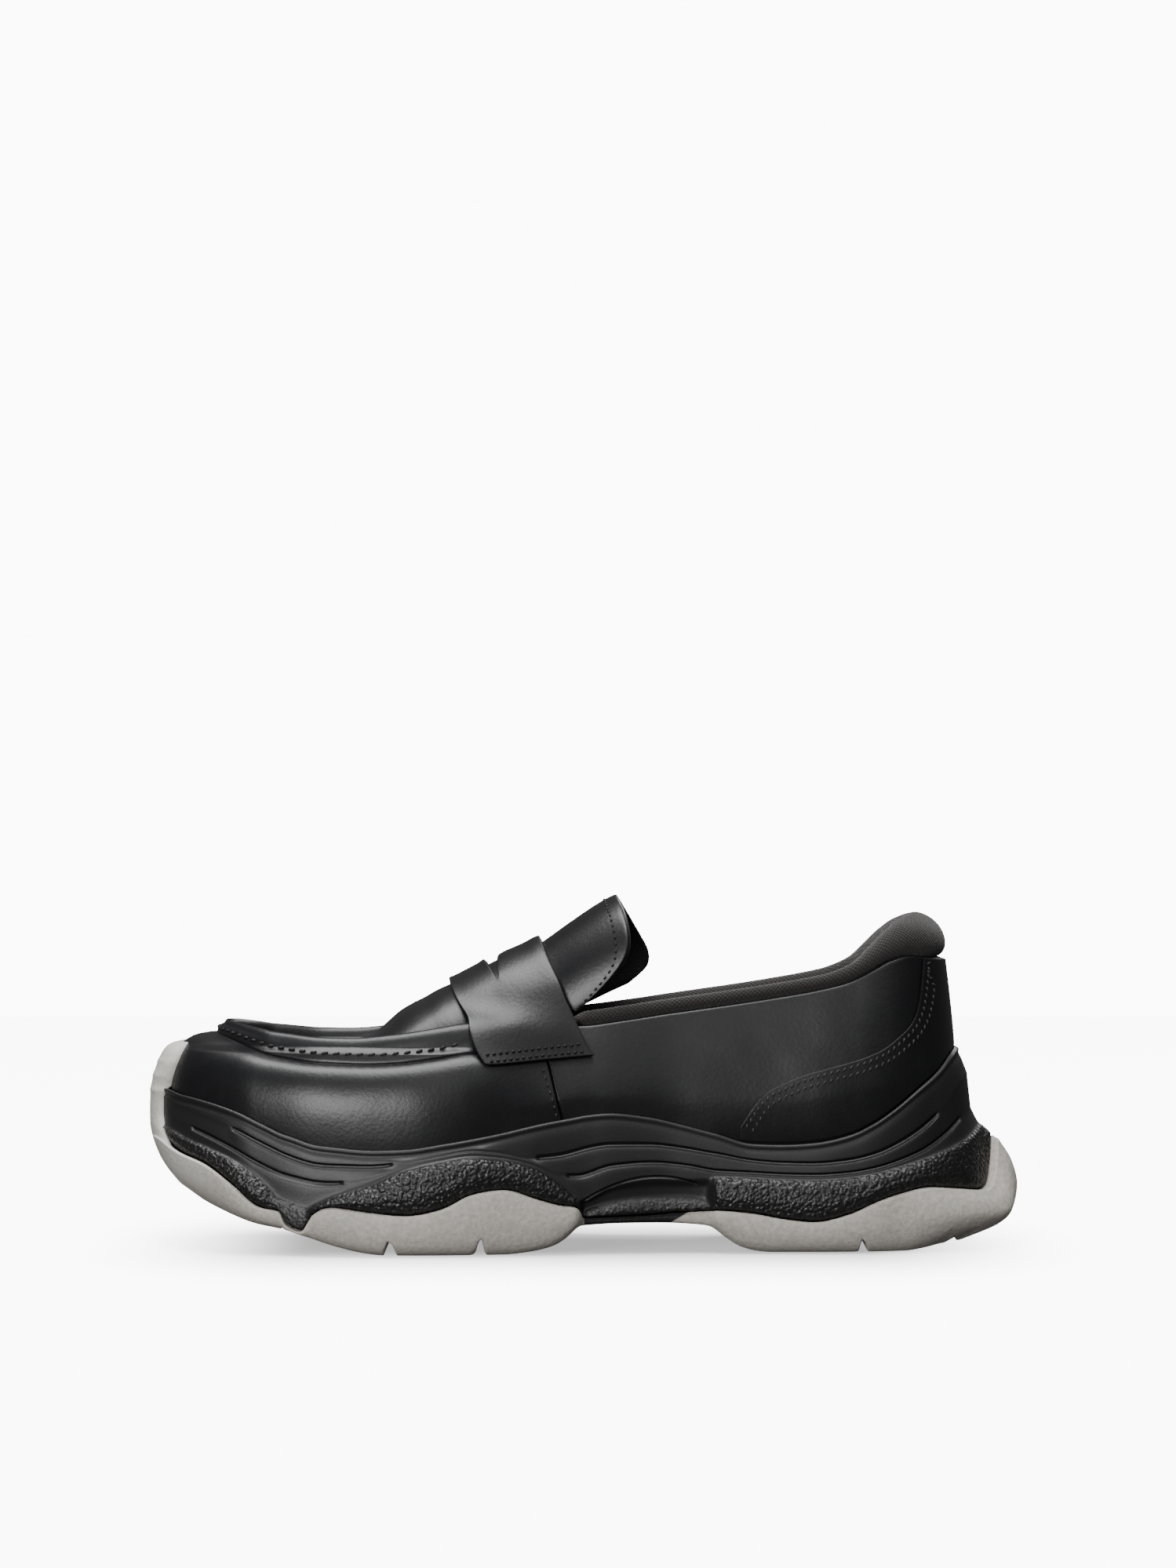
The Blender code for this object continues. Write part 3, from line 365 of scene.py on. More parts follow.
# The tongue: crest line along the instep, half width and drop of its two sides, and how
# far its sections lean. Then how far the end edge falls back from a square end on the
# outer and the inner side, by the share of the drop from the crest.
TONGUE_CREST = Table(
    "run x z outer inner outer_drop inner_drop lean",
    (0.0, -19.4, 105.3, 28.5, 20.5, 27.0, 27.0, 0.45),
    (6.6, -14.0, 109.0, 29.2, 22.5, 27.6, 28.0, 0.47),
    (20.0, -2.8, 117.0, 31.0, 27.5, 28.0, 30.5, 0.52),
    (32.9, 8.0, 124.0, 32.0, 30.0, 28.4, 32.8, 0.57),
    (37.4, 12.0, 125.9, 32.4, 30.5, 28.6, 33.4, 0.57),
)
TONGUE_END = Table(
    "share outer inner",
    (0.0, 0.0, 0.0), (0.16, 0.6, -0.2), (0.4, 2.4, -0.2), (0.57, 4.4, 0.0),
    (0.72, 7.6, 0.8), (0.82, 12.6, 2.0), (0.91, 20.5, 4.2), (0.97, 27.5, 7.4),
    (1.0, 32.5, 12.5),
)

# Cross grooves between the lugs.
GROOVES = (
    # apex x, apex z, start x, end x, base z
    (-106.0, 9.6, -109.0, -103.0, 0.0),
    (-68.0, 7.8, -69.8, -65.2, -1.0),
    (-36.0, 7.8, -38.2, -34.4, -1.0),
    (99.0, 6.0, 97.4, 101.0, -1.0),
    (131.8, 10.6, 130.3, 133.6, 0.0),
)

# The leather between its widest point and the stitched band or the collar.
BAND_END_X = -4.0    # the band has faded out here
BAND_FADE = 34.0     # over this length
SHOULDER_OUT = 5.0   # outward reach of the band's shoulder from the band's edge
ROUND_OVER = 2.2     # power of the leather's rounding under the band
LEAN_POWER = 1.35    # power of the rear wall's lean towards the collar


class Station:
    """One place on the plan outline, with the direction that leads straight out."""

    def __init__(self, x, side):
        self.x = x
        self.side = side
        self.y = self.across(x)
        if side == 0:
            self.out = Vector((-1.0 if x < 0 else 1.0, 0.0))
        else:
            step = 0.05
            low, high = max(x - step, TOE_X), min(x + step, HEEL_X)
            run = Vector((high - low, self.across(high) - self.across(low)))
            self.out = Vector((-side * run.y, side * run.x)).normalized()
        self.key = x + KEY_REACH * self.out.x
        facing = max(0.0, (abs(self.out.x) - 0.3) / 0.7) ** 1.3
        self.toe = facing if x < 0 else 0.0
        self.heel = facing if x > 0 else 0.0

    def across(self, x):
        """Sideways place of the outline, which closes in a round end at toe and heel."""
        closing = 1.0
        for reach, length, power in (
            (x - TOE_X, TOE_ROUND, TOE_POWER),
            (HEEL_X - x, HEEL_ROUND, HEEL_POWER),
        ):
            if reach < length:
                left = 1.0 - max(reach, 0.0) / length
                closing *= (1.0 - left**power) ** (1.0 / power)
        return PLAN("centre", x) + self.side * PLAN("half", x) * closing

    def at(self, out, z):
        x = self.x + out * self.out.x
        y = self.y + out * self.out.y
        return Vector((x, y + SIDE_SHIFT, z))

    def blend(self, side, swell, toe, heel):
        """Outward reach that passes from the toe's value over the side's to the heel's."""
        reach = side + swell * FORM("swell", self.key)
        return reach + self.toe * (toe - reach) + self.heel * (heel - reach)


def stations(places):
    """A closed round of stations: toe tip, outer side, heel, inner side."""
    outer = [Station(x, -1) for x in places]
    inner = [Station(x, 1) for x in reversed(places)]
    return [Station(TOE_X, 0)] + outer + [Station(HEEL_X, 0)] + inner


def mix(a, b, share):
    return a + (b - a) * share


def eased(t):
    """Passes softly from 0 to 1."""
    t = min(max(t, 0.0), 1.0)
    return t * t * (3 - 2 * t)


def front_share(x):
    """1 where the upper carries the stitched band, 0 where it ends at the collar."""
    return eased((BAND_END_X - x) / BAND_FADE)


def wall(station, z):
    """Outward reach of the leather at a height: drawn in below, rounded over above."""
    x = station.x
    widest, edge, inset = UPPER("widest", x), UPPER("edge", x), UPPER("inset", x)
    if z <= widest:
        foot = BED("z", station.x - TUCK * station.out.x)
        return -TUCK * ((widest - z) / (widest - foot)) ** 2
    shoulder = edge - UPPER("band", x)
    rise = min((z - widest) / (shoulder - widest), 1.0)
    round_over = (SHOULDER_OUT - inset) * (1 - (1 - rise**ROUND_OVER) ** (1 / ROUND_OVER))
    lean = -inset * min((z - widest) / (edge - widest), 1.0) ** LEAN_POWER
    return mix(lean, round_over, front_share(x))


def metres(point):
    return Vector(point) * MM


def level(one, other, share):
    """A cover that runs straight across."""
    return one.lerp(other, 0.5 + share / 2)


def sole_cover(lift, column):
    """A cover that follows the ground's table in its middle and the section at its edge."""

    def surface(one, other, share):
        point = one.lerp(other, 0.5 + share / 2)
        middle = GROUND(column, point.x) + lift
        edge = mix(one.z, other.z, 0.5 + share / 2)
        point.z = mix(middle, edge, abs(share) ** 3)
        return point

    return surface


def edge_height(station, out):
    """Underside of the rubber at its edge: it lifts towards toe and heel corners."""
    x = station.x + out * station.out.x
    corner = 1.0 - max(station.toe, station.heel) ** 2
    return mix(GROUND("middle", x), GROUND("edge", x), corner)


def inner_top(station):
    """Outward reach of the rubber's inner wall at its top."""
    return station.blend(*OUTSOLE_INNER_TOP)


def inner_foot(station):
    """The foot of the rubber's inner wall, out and up."""
    out = station.blend(*OUTSOLE_INNER_LOW)
    return out, GROUND("floor", station.x + out * station.out.x)


def outsole_profile(station):
    """From the inner floor edge up, over the lip, and down to the ground edge."""
    foot, floor = inner_foot(station)
    top = SIDE("grey", station.key)
    low = inner_top(station)
    high = station.blend(*OUTSOLE_LIP)
    rows = [
        (foot, floor),
        (mix(foot, low, 0.75), mix(floor, top, 0.5)),
        (low, mix(floor, top, 0.85)),
        (mix(low, high, 0.5), mix(floor, top, 0.925)),
        (high, top),
    ]
    bottom = edge_height(station, station.blend(*OUTSOLE_REACH[-1][1:]))
    rows += [(station.blend(*reach), mix(bottom, top, share)) for share, *reach in OUTSOLE_REACH]
    return rows


def midsole_profile(station):
    """From the footbed edge up the cup, over the rim, and down to the rubber."""
    key = station.key
    reach = {name: station.blend(*row) for name, row in MIDSOLE_REACH.items()}
    line = {name: SIDE(name, key) for name in ("rim", "upper", "lower", "pod")}
    ledge = SIDE("grey", key)
    foot = BED("z", station.x - TUCK * station.out.x)
    middle = mix(foot, line["rim"], 0.5)
    rim = line["rim"]
    rows = [
        (wall(station, foot) + GAP, foot),
        (wall(station, middle) + GAP, middle),
        (wall(station, rim - 0.8) + GAP + 0.05, rim - 0.4),
        (reach["rim"] - 0.3, rim),
        (reach["bead"], rim - 2.0),
    ]
    for name in ("upper", "lower"):
        cut = LINES(name, key)
        z = line[name]
        middle_reach = mix(reach[name + "_top"], reach[name + "_foot"], 0.5)
        rows.append((mix(middle_reach, reach[name + "_top"], 0.7 * cut), z + 0.55))
        rows.append((middle_reach - 0.75 * cut, z))
        rows.append((mix(middle_reach, reach[name + "_foot"] + 0.2, cut), z - 0.55))
    pod = line["pod"]
    foot_out, floor = inner_foot(station)
    inner = inner_top(station)
    return rows + [
        (reach["pod_edge"], pod),
        (reach["pod_shoulder"], mix(pod, ledge, 0.22)),
        (reach["pod_belly"], mix(pod, ledge, 0.6)),
        (reach["pod_foot"], ledge + GAP + 0.2),
        (inner - GAP, mix(floor, ledge, 0.85) + GAP + 0.2),
        (mix(foot_out, inner, 0.75) - GAP, mix(floor, ledge, 0.5)),
        (foot_out - GAP, floor + FLOOR_GAP),
    ]


def crest_middle(x):
    """Sideways place of the instep's crest."""
    return PLAN("centre", x) + mix(0.0, 4.5, min(max((x + 110) / 60, 0.0), 1.0))


def arch(x, outer, inner, share, trim=0.0):
    """A point of the apron's crown between its outer and its inner edge."""
    peak = crest_middle(x) + SIDE_SHIFT
    side = outer if share < 0 else inner
    y = mix(peak, side.y, abs(share))
    low = mix(outer.z, inner.z, 0.5 + share / 2)
    height = CROWN("height", x) - trim
    z = low + height * math.sqrt(1 - abs(share) ** ARCH_POWER)
    flat = mix(outer.x, inner.x, 0.5 + share / 2)
    return Vector((flat - CROWN("tilt", x) * (z - low), y, z))


def close_places(step, extra=()):
    """Places along the shoe: close together at the round ends, even between them."""
    turns = 36
    rounding = [1 - math.cos(math.pi / 2 * k / turns) for k in range(1, turns)]
    toe = [TOE_X + TOE_ROUND * share for share in rounding]
    heel = [HEEL_X - HEEL_ROUND * share for share in rounding]
    start, end = TOE_X + TOE_ROUND, HEEL_X - HEEL_ROUND
    count = round((end - start) / step)
    middle = [start + (end - start) * k / count for k in range(count + 1)]
    return sorted(set(toe + middle + heel) | set(extra))


def denser(points, counts, curved=()):
    """Adds points between the given ones, so many in each gap, on a curve where asked."""
    made = []
    for gap, (first, second, count) in enumerate(zip(points, points[1:], counts)):
        before = points[gap - 1] if gap - 1 in curved else first
        after = points[gap + 2] if gap + 1 in curved and gap + 2 < len(points) else second
        for k in range(count):
            t = k / count
            point = tuple(mix(a, b, t) for a, b in zip(first, second))
            if gap in curved:
                point = tuple(
                    0.5 * (2 * b + (c - a) * t + (2 * a - 5 * b + 4 * c - d) * t * t
                           + (3 * b - a - 3 * c + d) * t**3)
                    for a, b, c, d in zip(before, first, second, after)
                )
            made.append(point)
    return made + [tuple(points[-1])]


def even_turns(count):
    """Shares from -1 to 1, closer together towards both ends."""
    return [math.sin(math.pi / 2 * (2 * k / count - 1)) for k in range(count + 1)]


def show(name, mesh, finish):
    """Makes a smooth shaded object of a finished bmesh."""
    data = bpy.data.meshes.new(name)
    mesh.to_mesh(data)
    mesh.free()
    data.materials.append(finish)
    data.shade_smooth()
    made = bpy.data.objects.new(name, data)
    bpy.context.scene.collection.objects.link(made)
    return made


def subdivide(made, levels):
    """Live subdivision, the same in the export as in the render."""
    smooth = made.modifiers.new("smooth", "SUBSURF")
    smooth.levels = smooth.render_levels = levels


class Skin:
    """A mesh grown from flat grids whose vertices are moved to their place on the shoe."""

    def __init__(self):
        self.mesh = bmesh.new()
        self.masks = {}

    def mask(self, name):
        """The attribute of that name, one number for each vertex."""
        if name not in self.masks:
            self.masks[name] = self.mesh.verts.layers.float.new(name)
        return self.masks[name]

    def grid(self, across, along, place, masks=None):
        """One grid. place(column, row) gives a point, masks(column, row) its values."""
        names = {name: self.mask(name) for name in (masks(0, 0) if masks else {})}
        made = bmesh.ops.create_grid(self.mesh, x_segments=across, y_segments=along, size=1.0)
        for vertex in made["verts"]:
            column = round((vertex.co.x + 1) / 2 * across)
            row = round((vertex.co.y + 1) / 2 * along)
            for name, layer in names.items():
                vertex[layer] = masks(column, row)[name]
            vertex.co = metres(place(column, row))
        return made["verts"]

    def loft(self, rounds, sections, closed=True, masks=None):
        """A grid over the rounds' stations, each with its own section."""
        across = len(rounds) if closed else len(rounds) - 1

        def place(column, row):
            column %= len(rounds)
            return rounds[column].at(*sections[column][row])

        def values(column, row):
            return masks(column % len(rounds), row)

        return self.grid(across, len(sections[0]) - 1, place, values if masks else None)

    def cover(self, rounds, sections, row, surface, steps=8):
        """A grid that closes the round of one row, from the outer to the inner side."""
        half = len(rounds) // 2

        def place(column, number):
            one = rounds[column].at(*sections[column][row])
            other = rounds[-column].at(*sections[-column][row])
            return surface(one, other, 2 * number / steps - 1)

        return self.grid(half, steps, place)

    def finish(self, name, finish, levels=1):
        """The closed piece, facing outwards, with live subdivision."""
        bmesh.ops.remove_doubles(self.mesh, verts=self.mesh.verts, dist=1e-6)
        bmesh.ops.recalc_face_normals(self.mesh, faces=self.mesh.faces)
        if self.mesh.calc_volume(signed=True) < 0:
            bmesh.ops.reverse_faces(self.mesh, faces=self.mesh.faces)
        made = show(name, self.mesh, finish)
        subdivide(made, levels)
        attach(made, "root")
        return made


class Value:
    """What comes out of a shader node, ready for arithmetic."""

    def __init__(self, finish, socket):
        self.finish = finish
        self.socket = socket

    def maths(self, operation, *others):
        return self.finish.maths(operation, self, *others)

    def __add__(self, other):
        return self.maths("ADD", other)

    def __radd__(self, other):
        return self.maths("ADD", other)

    def __sub__(self, other):
        return self.maths("SUBTRACT", other)

    def __rsub__(self, other):
        return self.finish.maths("SUBTRACT", other, self)

    def __mul__(self, other):
        return self.maths("MULTIPLY", other)

    def __rmul__(self, other):
        return self.maths("MULTIPLY", other)

    def __truediv__(self, other):
        return self.maths("DIVIDE", other)

    def __abs__(self):
        return self.maths("ABSOLUTE")

    def step(self, low, high):
        """0 below low, 1 above high, and smooth between them."""
        settings = {"interpolation_type": "SMOOTHSTEP"}
        return self.finish.node("ShaderNodeMapRange", settings, {0: self, 1: low, 2: high})


class Finish:
    """One material: its shader, and the nodes that feed it."""

    def __init__(self, name, **constants):
        self.material = bpy.data.materials.new(name)
        self.material.use_nodes = True
        self.tree = self.material.node_tree
        self.shader = self.tree.nodes["Principled BSDF"]
        for key, value in constants.items():
            self.shader.inputs[key.replace("_", " ")].default_value = value
        metres_place = self.node("ShaderNodeTexCoord", output="Object")
        self.place = self.node(
            "ShaderNodeVectorMath", {"operation": "SCALE"}, {0: metres_place, "Scale": 1 / MM}
        )
        self.x, self.y, self.z = self.axes(self.place)

    def node(self, kind, settings=None, inputs=None, output=0):
        made = self.tree.nodes.new(kind)
        for key, value in (settings or {}).items():
            setattr(made, key, value)
        for key, value in (inputs or {}).items():
            self.feed(made.inputs[key], value)
        return Value(self, made.outputs[output])

    def feed(self, socket, value):
        if isinstance(value, Value):
            self.tree.links.new(value.socket, socket)
        else:
            socket.default_value = value

    def maths(self, operation, *values):
        return self.node("ShaderNodeMath", {"operation": operation}, dict(enumerate(values)))

    def axes(self, vector):
        """The three numbers of a vector."""
        made = self.tree.nodes.new("ShaderNodeSeparateXYZ")
        self.feed(made.inputs[0], vector)
        return [Value(self, socket) for socket in made.outputs]

    def attribute(self, name):
        return self.node("ShaderNodeAttribute", {"attribute_name": name}, output="Fac")

    def noise(self, size, detail=2.0, roughness=0.5):
        """Clouds of that size in millimetres."""
        inputs = {"Vector": self.place, "Scale": 1 / size, "Detail": detail}
        inputs["Roughness"] = roughness
        return self.node("ShaderNodeTexNoise", None, inputs)

    def cells(self, size):
        """Soft round cells of that size in millimetres, dark in their middle."""
        inputs = {"Vector": self.place, "Scale": 1 / size}
        return self.node("ShaderNodeTexVoronoi", {"feature": "SMOOTH_F1"}, inputs)

    def blend(self, share, first, second):
        """A colour between two colours."""
        made = self.tree.nodes.new("ShaderNodeMix")
        made.data_type = "RGBA"
        colours = [socket for socket in made.inputs if socket.type == "RGBA"]
        for socket, value in zip([made.inputs[0]] + colours, (share, first, second)):
            self.feed(socket, value)
        return Value(self, next(socket for socket in made.outputs if socket.type == "RGBA"))

    def relief(self, height, depth):
        """Bump of that depth in millimetres where height goes from 0 to 1."""
        inputs = {"Strength": 1.0, "Distance": depth * MM, "Height": height}
        if self.shader.inputs["Normal"].links:
            before = self.shader.inputs["Normal"].links[0].from_socket
            inputs["Normal"] = Value(self, before)
        self.use("Normal", self.node("ShaderNodeBump", None, inputs))

    def use(self, name, value):
        self.feed(self.shader.inputs[name], value)


def grey(value):
    return (value, value, value, 1.0)


def seam_x(z):
    """Place of the side seam at a height."""
    return SEAM_X + (SEAM_Z - z) * SEAM_LEAN


LEATHER_DARK = (0.0044, 0.0044, 0.0054, 1)
LEATHER_WORN = (0.0060, 0.0060, 0.0072, 1)
LINING_BROWN = (0.010, 0.0078, 0.0074, 1)


def make_leather(name, seam=False, lining=False, sway=0.7):
    """Black leather with soft gloss; sway is how far the hide heaves in millimetres."""
    finish = Finish(name, IOR=1.5)
    wobble = finish.noise(26.0, 1.0)
    pores = finish.noise(0.55, 3.0, 0.6)
    grain = finish.cells(1.25)
    fine = finish.noise(7.0, 4.0, 0.55)
    colour = finish.blend(fine.step(0.42, 0.72), LEATHER_DARK, LEATHER_WORN)
    rough = 0.32 + 0.04 * fine + 0.05 * pores
    finish.relief(wobble, sway)
    finish.relief(grain, 0.035)
    finish.relief(pores, 0.02)
    if seam:
        behind = finish.x - seam_x(finish.z)
        under_strap = 1 - finish.z.step(70.0, 73.0)
        finish.relief((1 - behind.step(-0.5, 0.5)) * under_strap, 1.3)
        crease = (1 - abs(behind).step(0.2, 0.8)) * under_strap
        finish.relief(1 - crease, 0.9)
        # painted shade: the side seam's groove is darkened in the colour below the strap
        colour = finish.blend(crease, colour, grey(0.0008))
    if lining:
        inside = finish.attribute("lining")
        colour = finish.blend(inside, colour, LINING_BROWN)
        rough = rough + inside * 0.4
    finish.use("Base Color", colour)
    finish.use("Roughness", rough)
    return finish.material


ARCH_LINE_X = 26.0       # the crest of the moulded arch over the shank
ARCH_LINE_Z = 27.1
ARCH_LINE_FALL = 0.0123  # how fast it falls away to both sides, by the distance squared


def make_foam():
    """Satin black foam: smooth above, pebbled on the pods, with grooved lines."""
    finish = Finish("moulded_foam", IOR=1.5)
    pebble = finish.attribute("pebble")
    cells = finish.cells(1.2)
    small = finish.cells(0.65)
    speck = finish.noise(0.7, 3.0, 0.6)
    cloud = finish.noise(18.0)
    stones = (1 - cells.step(0.15, 0.75)) * 0.7 + (1 - small) * 0.3
    finish.relief(stones * pebble, 0.48)
    finish.relief(speck * (1 - pebble), 0.05)
    from_crest = finish.x - ARCH_LINE_X
    over_arch = finish.z - (ARCH_LINE_Z - from_crest * from_crest * ARCH_LINE_FALL)
    within = finish.x.step(-1.0, 1.0) * (1 - finish.x.step(39.0, 41.0))
    grooves = (1 - abs(over_arch).step(0.15, 0.75)) * within
    for line in ("upper", "lower"):
        over = finish.attribute("over_" + line)
        cut = finish.attribute(line + "_cut").step(0.2, 0.8)
        grooves = grooves + (1 - abs(over).step(0.15, 0.8)) * cut
    grooves = grooves.maths("MINIMUM", 1.0)
    finish.relief(1 - grooves, 0.8)
    smooth = finish.blend(cloud, grey(0.0085), grey(0.0115))
    # painted highlight and shade: each stone is paler on its raised top and darker in the gaps
    # between stones
    pebbled = finish.blend(stones, grey(0.0045), grey(0.0130))
    colour = finish.blend(pebble, smooth, pebbled)
    # painted shade: the moulded grooves are darkened in the colour, beside their bump
    finish.use("Base Color", finish.blend(grooves * 0.7, colour, grey(0.002)))
    finish.use("Roughness", 0.42 + 0.08 * speck - 0.14 * pebble * stones)
    return finish.material


RUBBER_DARK = (0.47, 0.442, 0.397, 1)
RUBBER_PALE = (0.60, 0.567, 0.517, 1)
RUBBER_TOE = (0.72, 0.70, 0.655, 1)
RUBBER_LOW_SHADE = (0.29, 0.266, 0.235, 1)
RUBBER_CLOUD = (0.41, 0.376, 0.336, 1)
SHANK_EDGE_X = 27.3      # the shank's black ends below in a slanting line through this place
SHANK_EDGE_Z = 8.2       # and this height
SHANK_EDGE_RISE = 0.58


def make_rubber():
    """Warm grey rubber, paler at the toe and darkened below by painted shade, black over the
    shank.
    """
    finish = Finish("grey_rubber", IOR=1.45)
    cloud = finish.noise(14.0, 3.0)
    mottle = finish.noise(1.6, 4.0, 0.65)
    stipple = finish.cells(1.5)
    speck = finish.noise(0.45, 2.0, 0.6)
    # painted shade: the colour darkens over the lowest 6 mm, standing in for the dark lower edge
    low = 1 - finish.z.step(0.0, 6.0)
    toe = 1 - finish.x.step(-150.0, -120.0)
    colour = finish.blend(mottle.step(0.3, 0.7), RUBBER_DARK, RUBBER_PALE)
    colour = finish.blend(toe * 0.6, colour, RUBBER_TOE)
    colour = finish.blend(low * 0.45, colour, RUBBER_LOW_SHADE)
    colour = finish.blend(cloud.step(0.45, 0.8) * 0.25, colour, RUBBER_CLOUD)
    shank = finish.x.step(0.0, 0.8) * (1 - finish.x.step(43.0, 44.0))
    over_edge = finish.z - (finish.x - SHANK_EDGE_X) * SHANK_EDGE_RISE
    shank = shank * over_edge.step(SHANK_EDGE_Z, SHANK_EDGE_Z + 0.6)
    finish.use("Base Color", finish.blend(shank, colour, grey(0.008)))
    finish.use("Roughness", 0.60 + 0.2 * mottle - 0.15 * shank)
    finish.relief(mottle, 0.10)
    finish.relief(stipple, 0.16)
    finish.relief(speck, 0.05)
    return finish.material


THREAD_PITCH = 0.95      # of the cloth, in millimetres


def make_cloth(name, first, second, scale):
    """Woven cloth; its threads follow the piece's own map."""
    finish = Finish(name, Sheen_Weight=0.25, Sheen_Roughness=0.5)
    u, v, _ = finish.axes(finish.node("ShaderNodeUVMap", {"uv_map": "weave"}))
    turn = 2 * math.pi / (THREAD_PITCH * scale)
    warp = (u * turn).maths("SINE")
    weft = (v * turn).maths("SINE")
    threads = (warp * weft) * 0.5 + 0.5
    fuzz = finish.noise(0.35, 3.0, 0.7)
    cloud = finish.noise(9.0)
    finish.relief(threads, 0.28)
    finish.relief(fuzz, 0.10)
    colour = finish.blend(threads * 0.7 + fuzz * 0.3, first, second)
    finish.use("Base Color", finish.blend(cloud.step(0.4, 0.8) * 0.3, colour, first))
    finish.use("Roughness", 0.86 + 0.1 * fuzz)
    return finish.material


def make_thread(name, value):
    """Waxed thread, twisted along its run."""
    finish = Finish(name)
    twist = (finish.x * 5.0 + finish.z * 5.0 + finish.y * 3.0).maths("SINE")
    finish.relief(twist * 0.5 + 0.5, 0.08)
    fuzz = finish.noise(0.4)
    finish.use("Base Color", finish.blend(fuzz, grey(value * 0.7), grey(value * 1.3)))
    finish.use("Roughness", 0.55 + 0.2 * fuzz)
    return finish.material


# The sole, with more places at the notch, at the shank's ends and behind the toe tab.
SOLE_PLACES = close_places(2.4, (
    -143.4, -143.15, -142.6, -142.35, -107.0, -106.0, -105.0, -99.0, -98.0, -97.0, -95.5, -94.0,
    -1.5, -0.4, 0.8, 43.5, 45.5, 47.5,
))


def groove_height(x):
    """How high the cross grooves reach at a place along the shoe."""
    top = -1.0
    for apex, high, start, end, base in GROOVES:
        if start < x < end:
            share = (x - start) / (apex - start) if x < apex else (end - x) / (end - apex)
            top = max(top, mix(base, high, share))
    return top


def cut_grooves(rounds, sections):
    """Lifts each section's rows to the tops of the cross grooves."""
    for station, section in zip(rounds, sections):
        for number, (out, z) in enumerate(section):
            x = station.x + out * station.out.x
            section[number] = (out, max(z, groove_height(x)))


# The toe tab: how far its edge lies to the side of the tip at each height, and how far
# its middle stands out from the tip.
TAB = Table(
    "z edge out",
    (30.0, 27.0, 1.4), (34.0, 25.0, 3.4), (38.4, 20.0, 5.0), (43.5, 15.5, 6.0), (48.0, 13.4, 6.1),
    (52.0, 13.2, 6.0), (57.0, 14.2, 5.6), (60.0, 15.2, 5.0), (62.8, 16.0, 4.2), (66.2, 16.8, 2.9),
    (69.0, 16.6, 1.6), (71.6, 15.6, -0.6), (73.2, 14.2, -4.4),
)
TAB_ROWS = 44
TAB_COLUMNS = 28
TAB_THICK = 0.6      # of the tab's skin under the surface that it covers
TAB_RIB = 0.4        # height of the ribs across the tab's upper half
TAB_RIB_PITCH = 5.2


def reach_at(rows, z):
    """Outward reach of a section at a height; its rows run downwards."""
    if z >= rows[0][1]:
        return rows[0][0]
    for (out, high), (other, low) in zip(rows, rows[1:]):
        if high >= z > low:
            return mix(out, other, (high - z) / (high - low))
    return rows[-1][0]


def tab_station(across):
    """The station of the toe's round that lies so far to the side of the tip."""
    if abs(across) < 0.01:
        return Station(TOE_X, 0)
    side = -1 if across < 0 else 1
    x = TOE_X + 1.0
    for _ in range(6):
        reach = PLAN("centre", TOE_X) + across - PLAN("centre", x)
        share = min(max(side * reach, 0.01) / PLAN("half", x), 0.98)
        x = TOE_X + TOE_ROUND * (1 - (1 - share**TOE_POWER) ** (1 / TOE_POWER))
    return Station(x, side)


def grow_tab(skin):
    """The rubber tab that runs up the toe, a closed sheet with ribs across it."""
    low, high = TAB.rows[0][0], TAB.rows[-1][0]
    depths = [(mix(low, high, k / TAB_ROWS), True) for k in range(TAB_ROWS + 1)]
    depths += [(z, False) for z, _ in reversed(depths)] + [depths[0]]
    shares = even_turns(TAB_COLUMNS)

    def place(column, row):
        z, outside = depths[row]
        share = shares[column]
        station = tab_station(share * TAB("edge", z))
        rim = SIDE("rim", station.key)
        foam = reach_at(midsole_profile(station)[3:15], z)
        base = mix(foam, wall(station, z), eased((z - rim + 1.0) / 2.0)) + 0.15
        if not outside and abs(share) < 1 and low < z < high:
            return station.at(base - TAB_THICK, z)
        rib = TAB_RIB * max(0.0, math.cos(2 * math.pi * (z - 66.0) / TAB_RIB_PITCH)) ** 2
        rib *= eased((z - 50.0) / 4.0) * eased((70.0 - z) / 3.0)
        swell = TAB("out", z) - base + rib
        out = base + swell * math.sqrt(max(0.0, 1 - abs(share) ** 3.5))
        if z > high - 0.01:
            out = base
        rubber = reach_at(outsole_profile(station)[5:], z)
        return station.at(mix(rubber + 0.1, out, eased((z - 33.0) / 8.0)), z)

    skin.grid(TAB_COLUMNS, len(depths) - 1, place)


OUTSOLE_STEPS = (1, 1, 1, 1, 1, 1, 1, 3, 4, 4, 4)


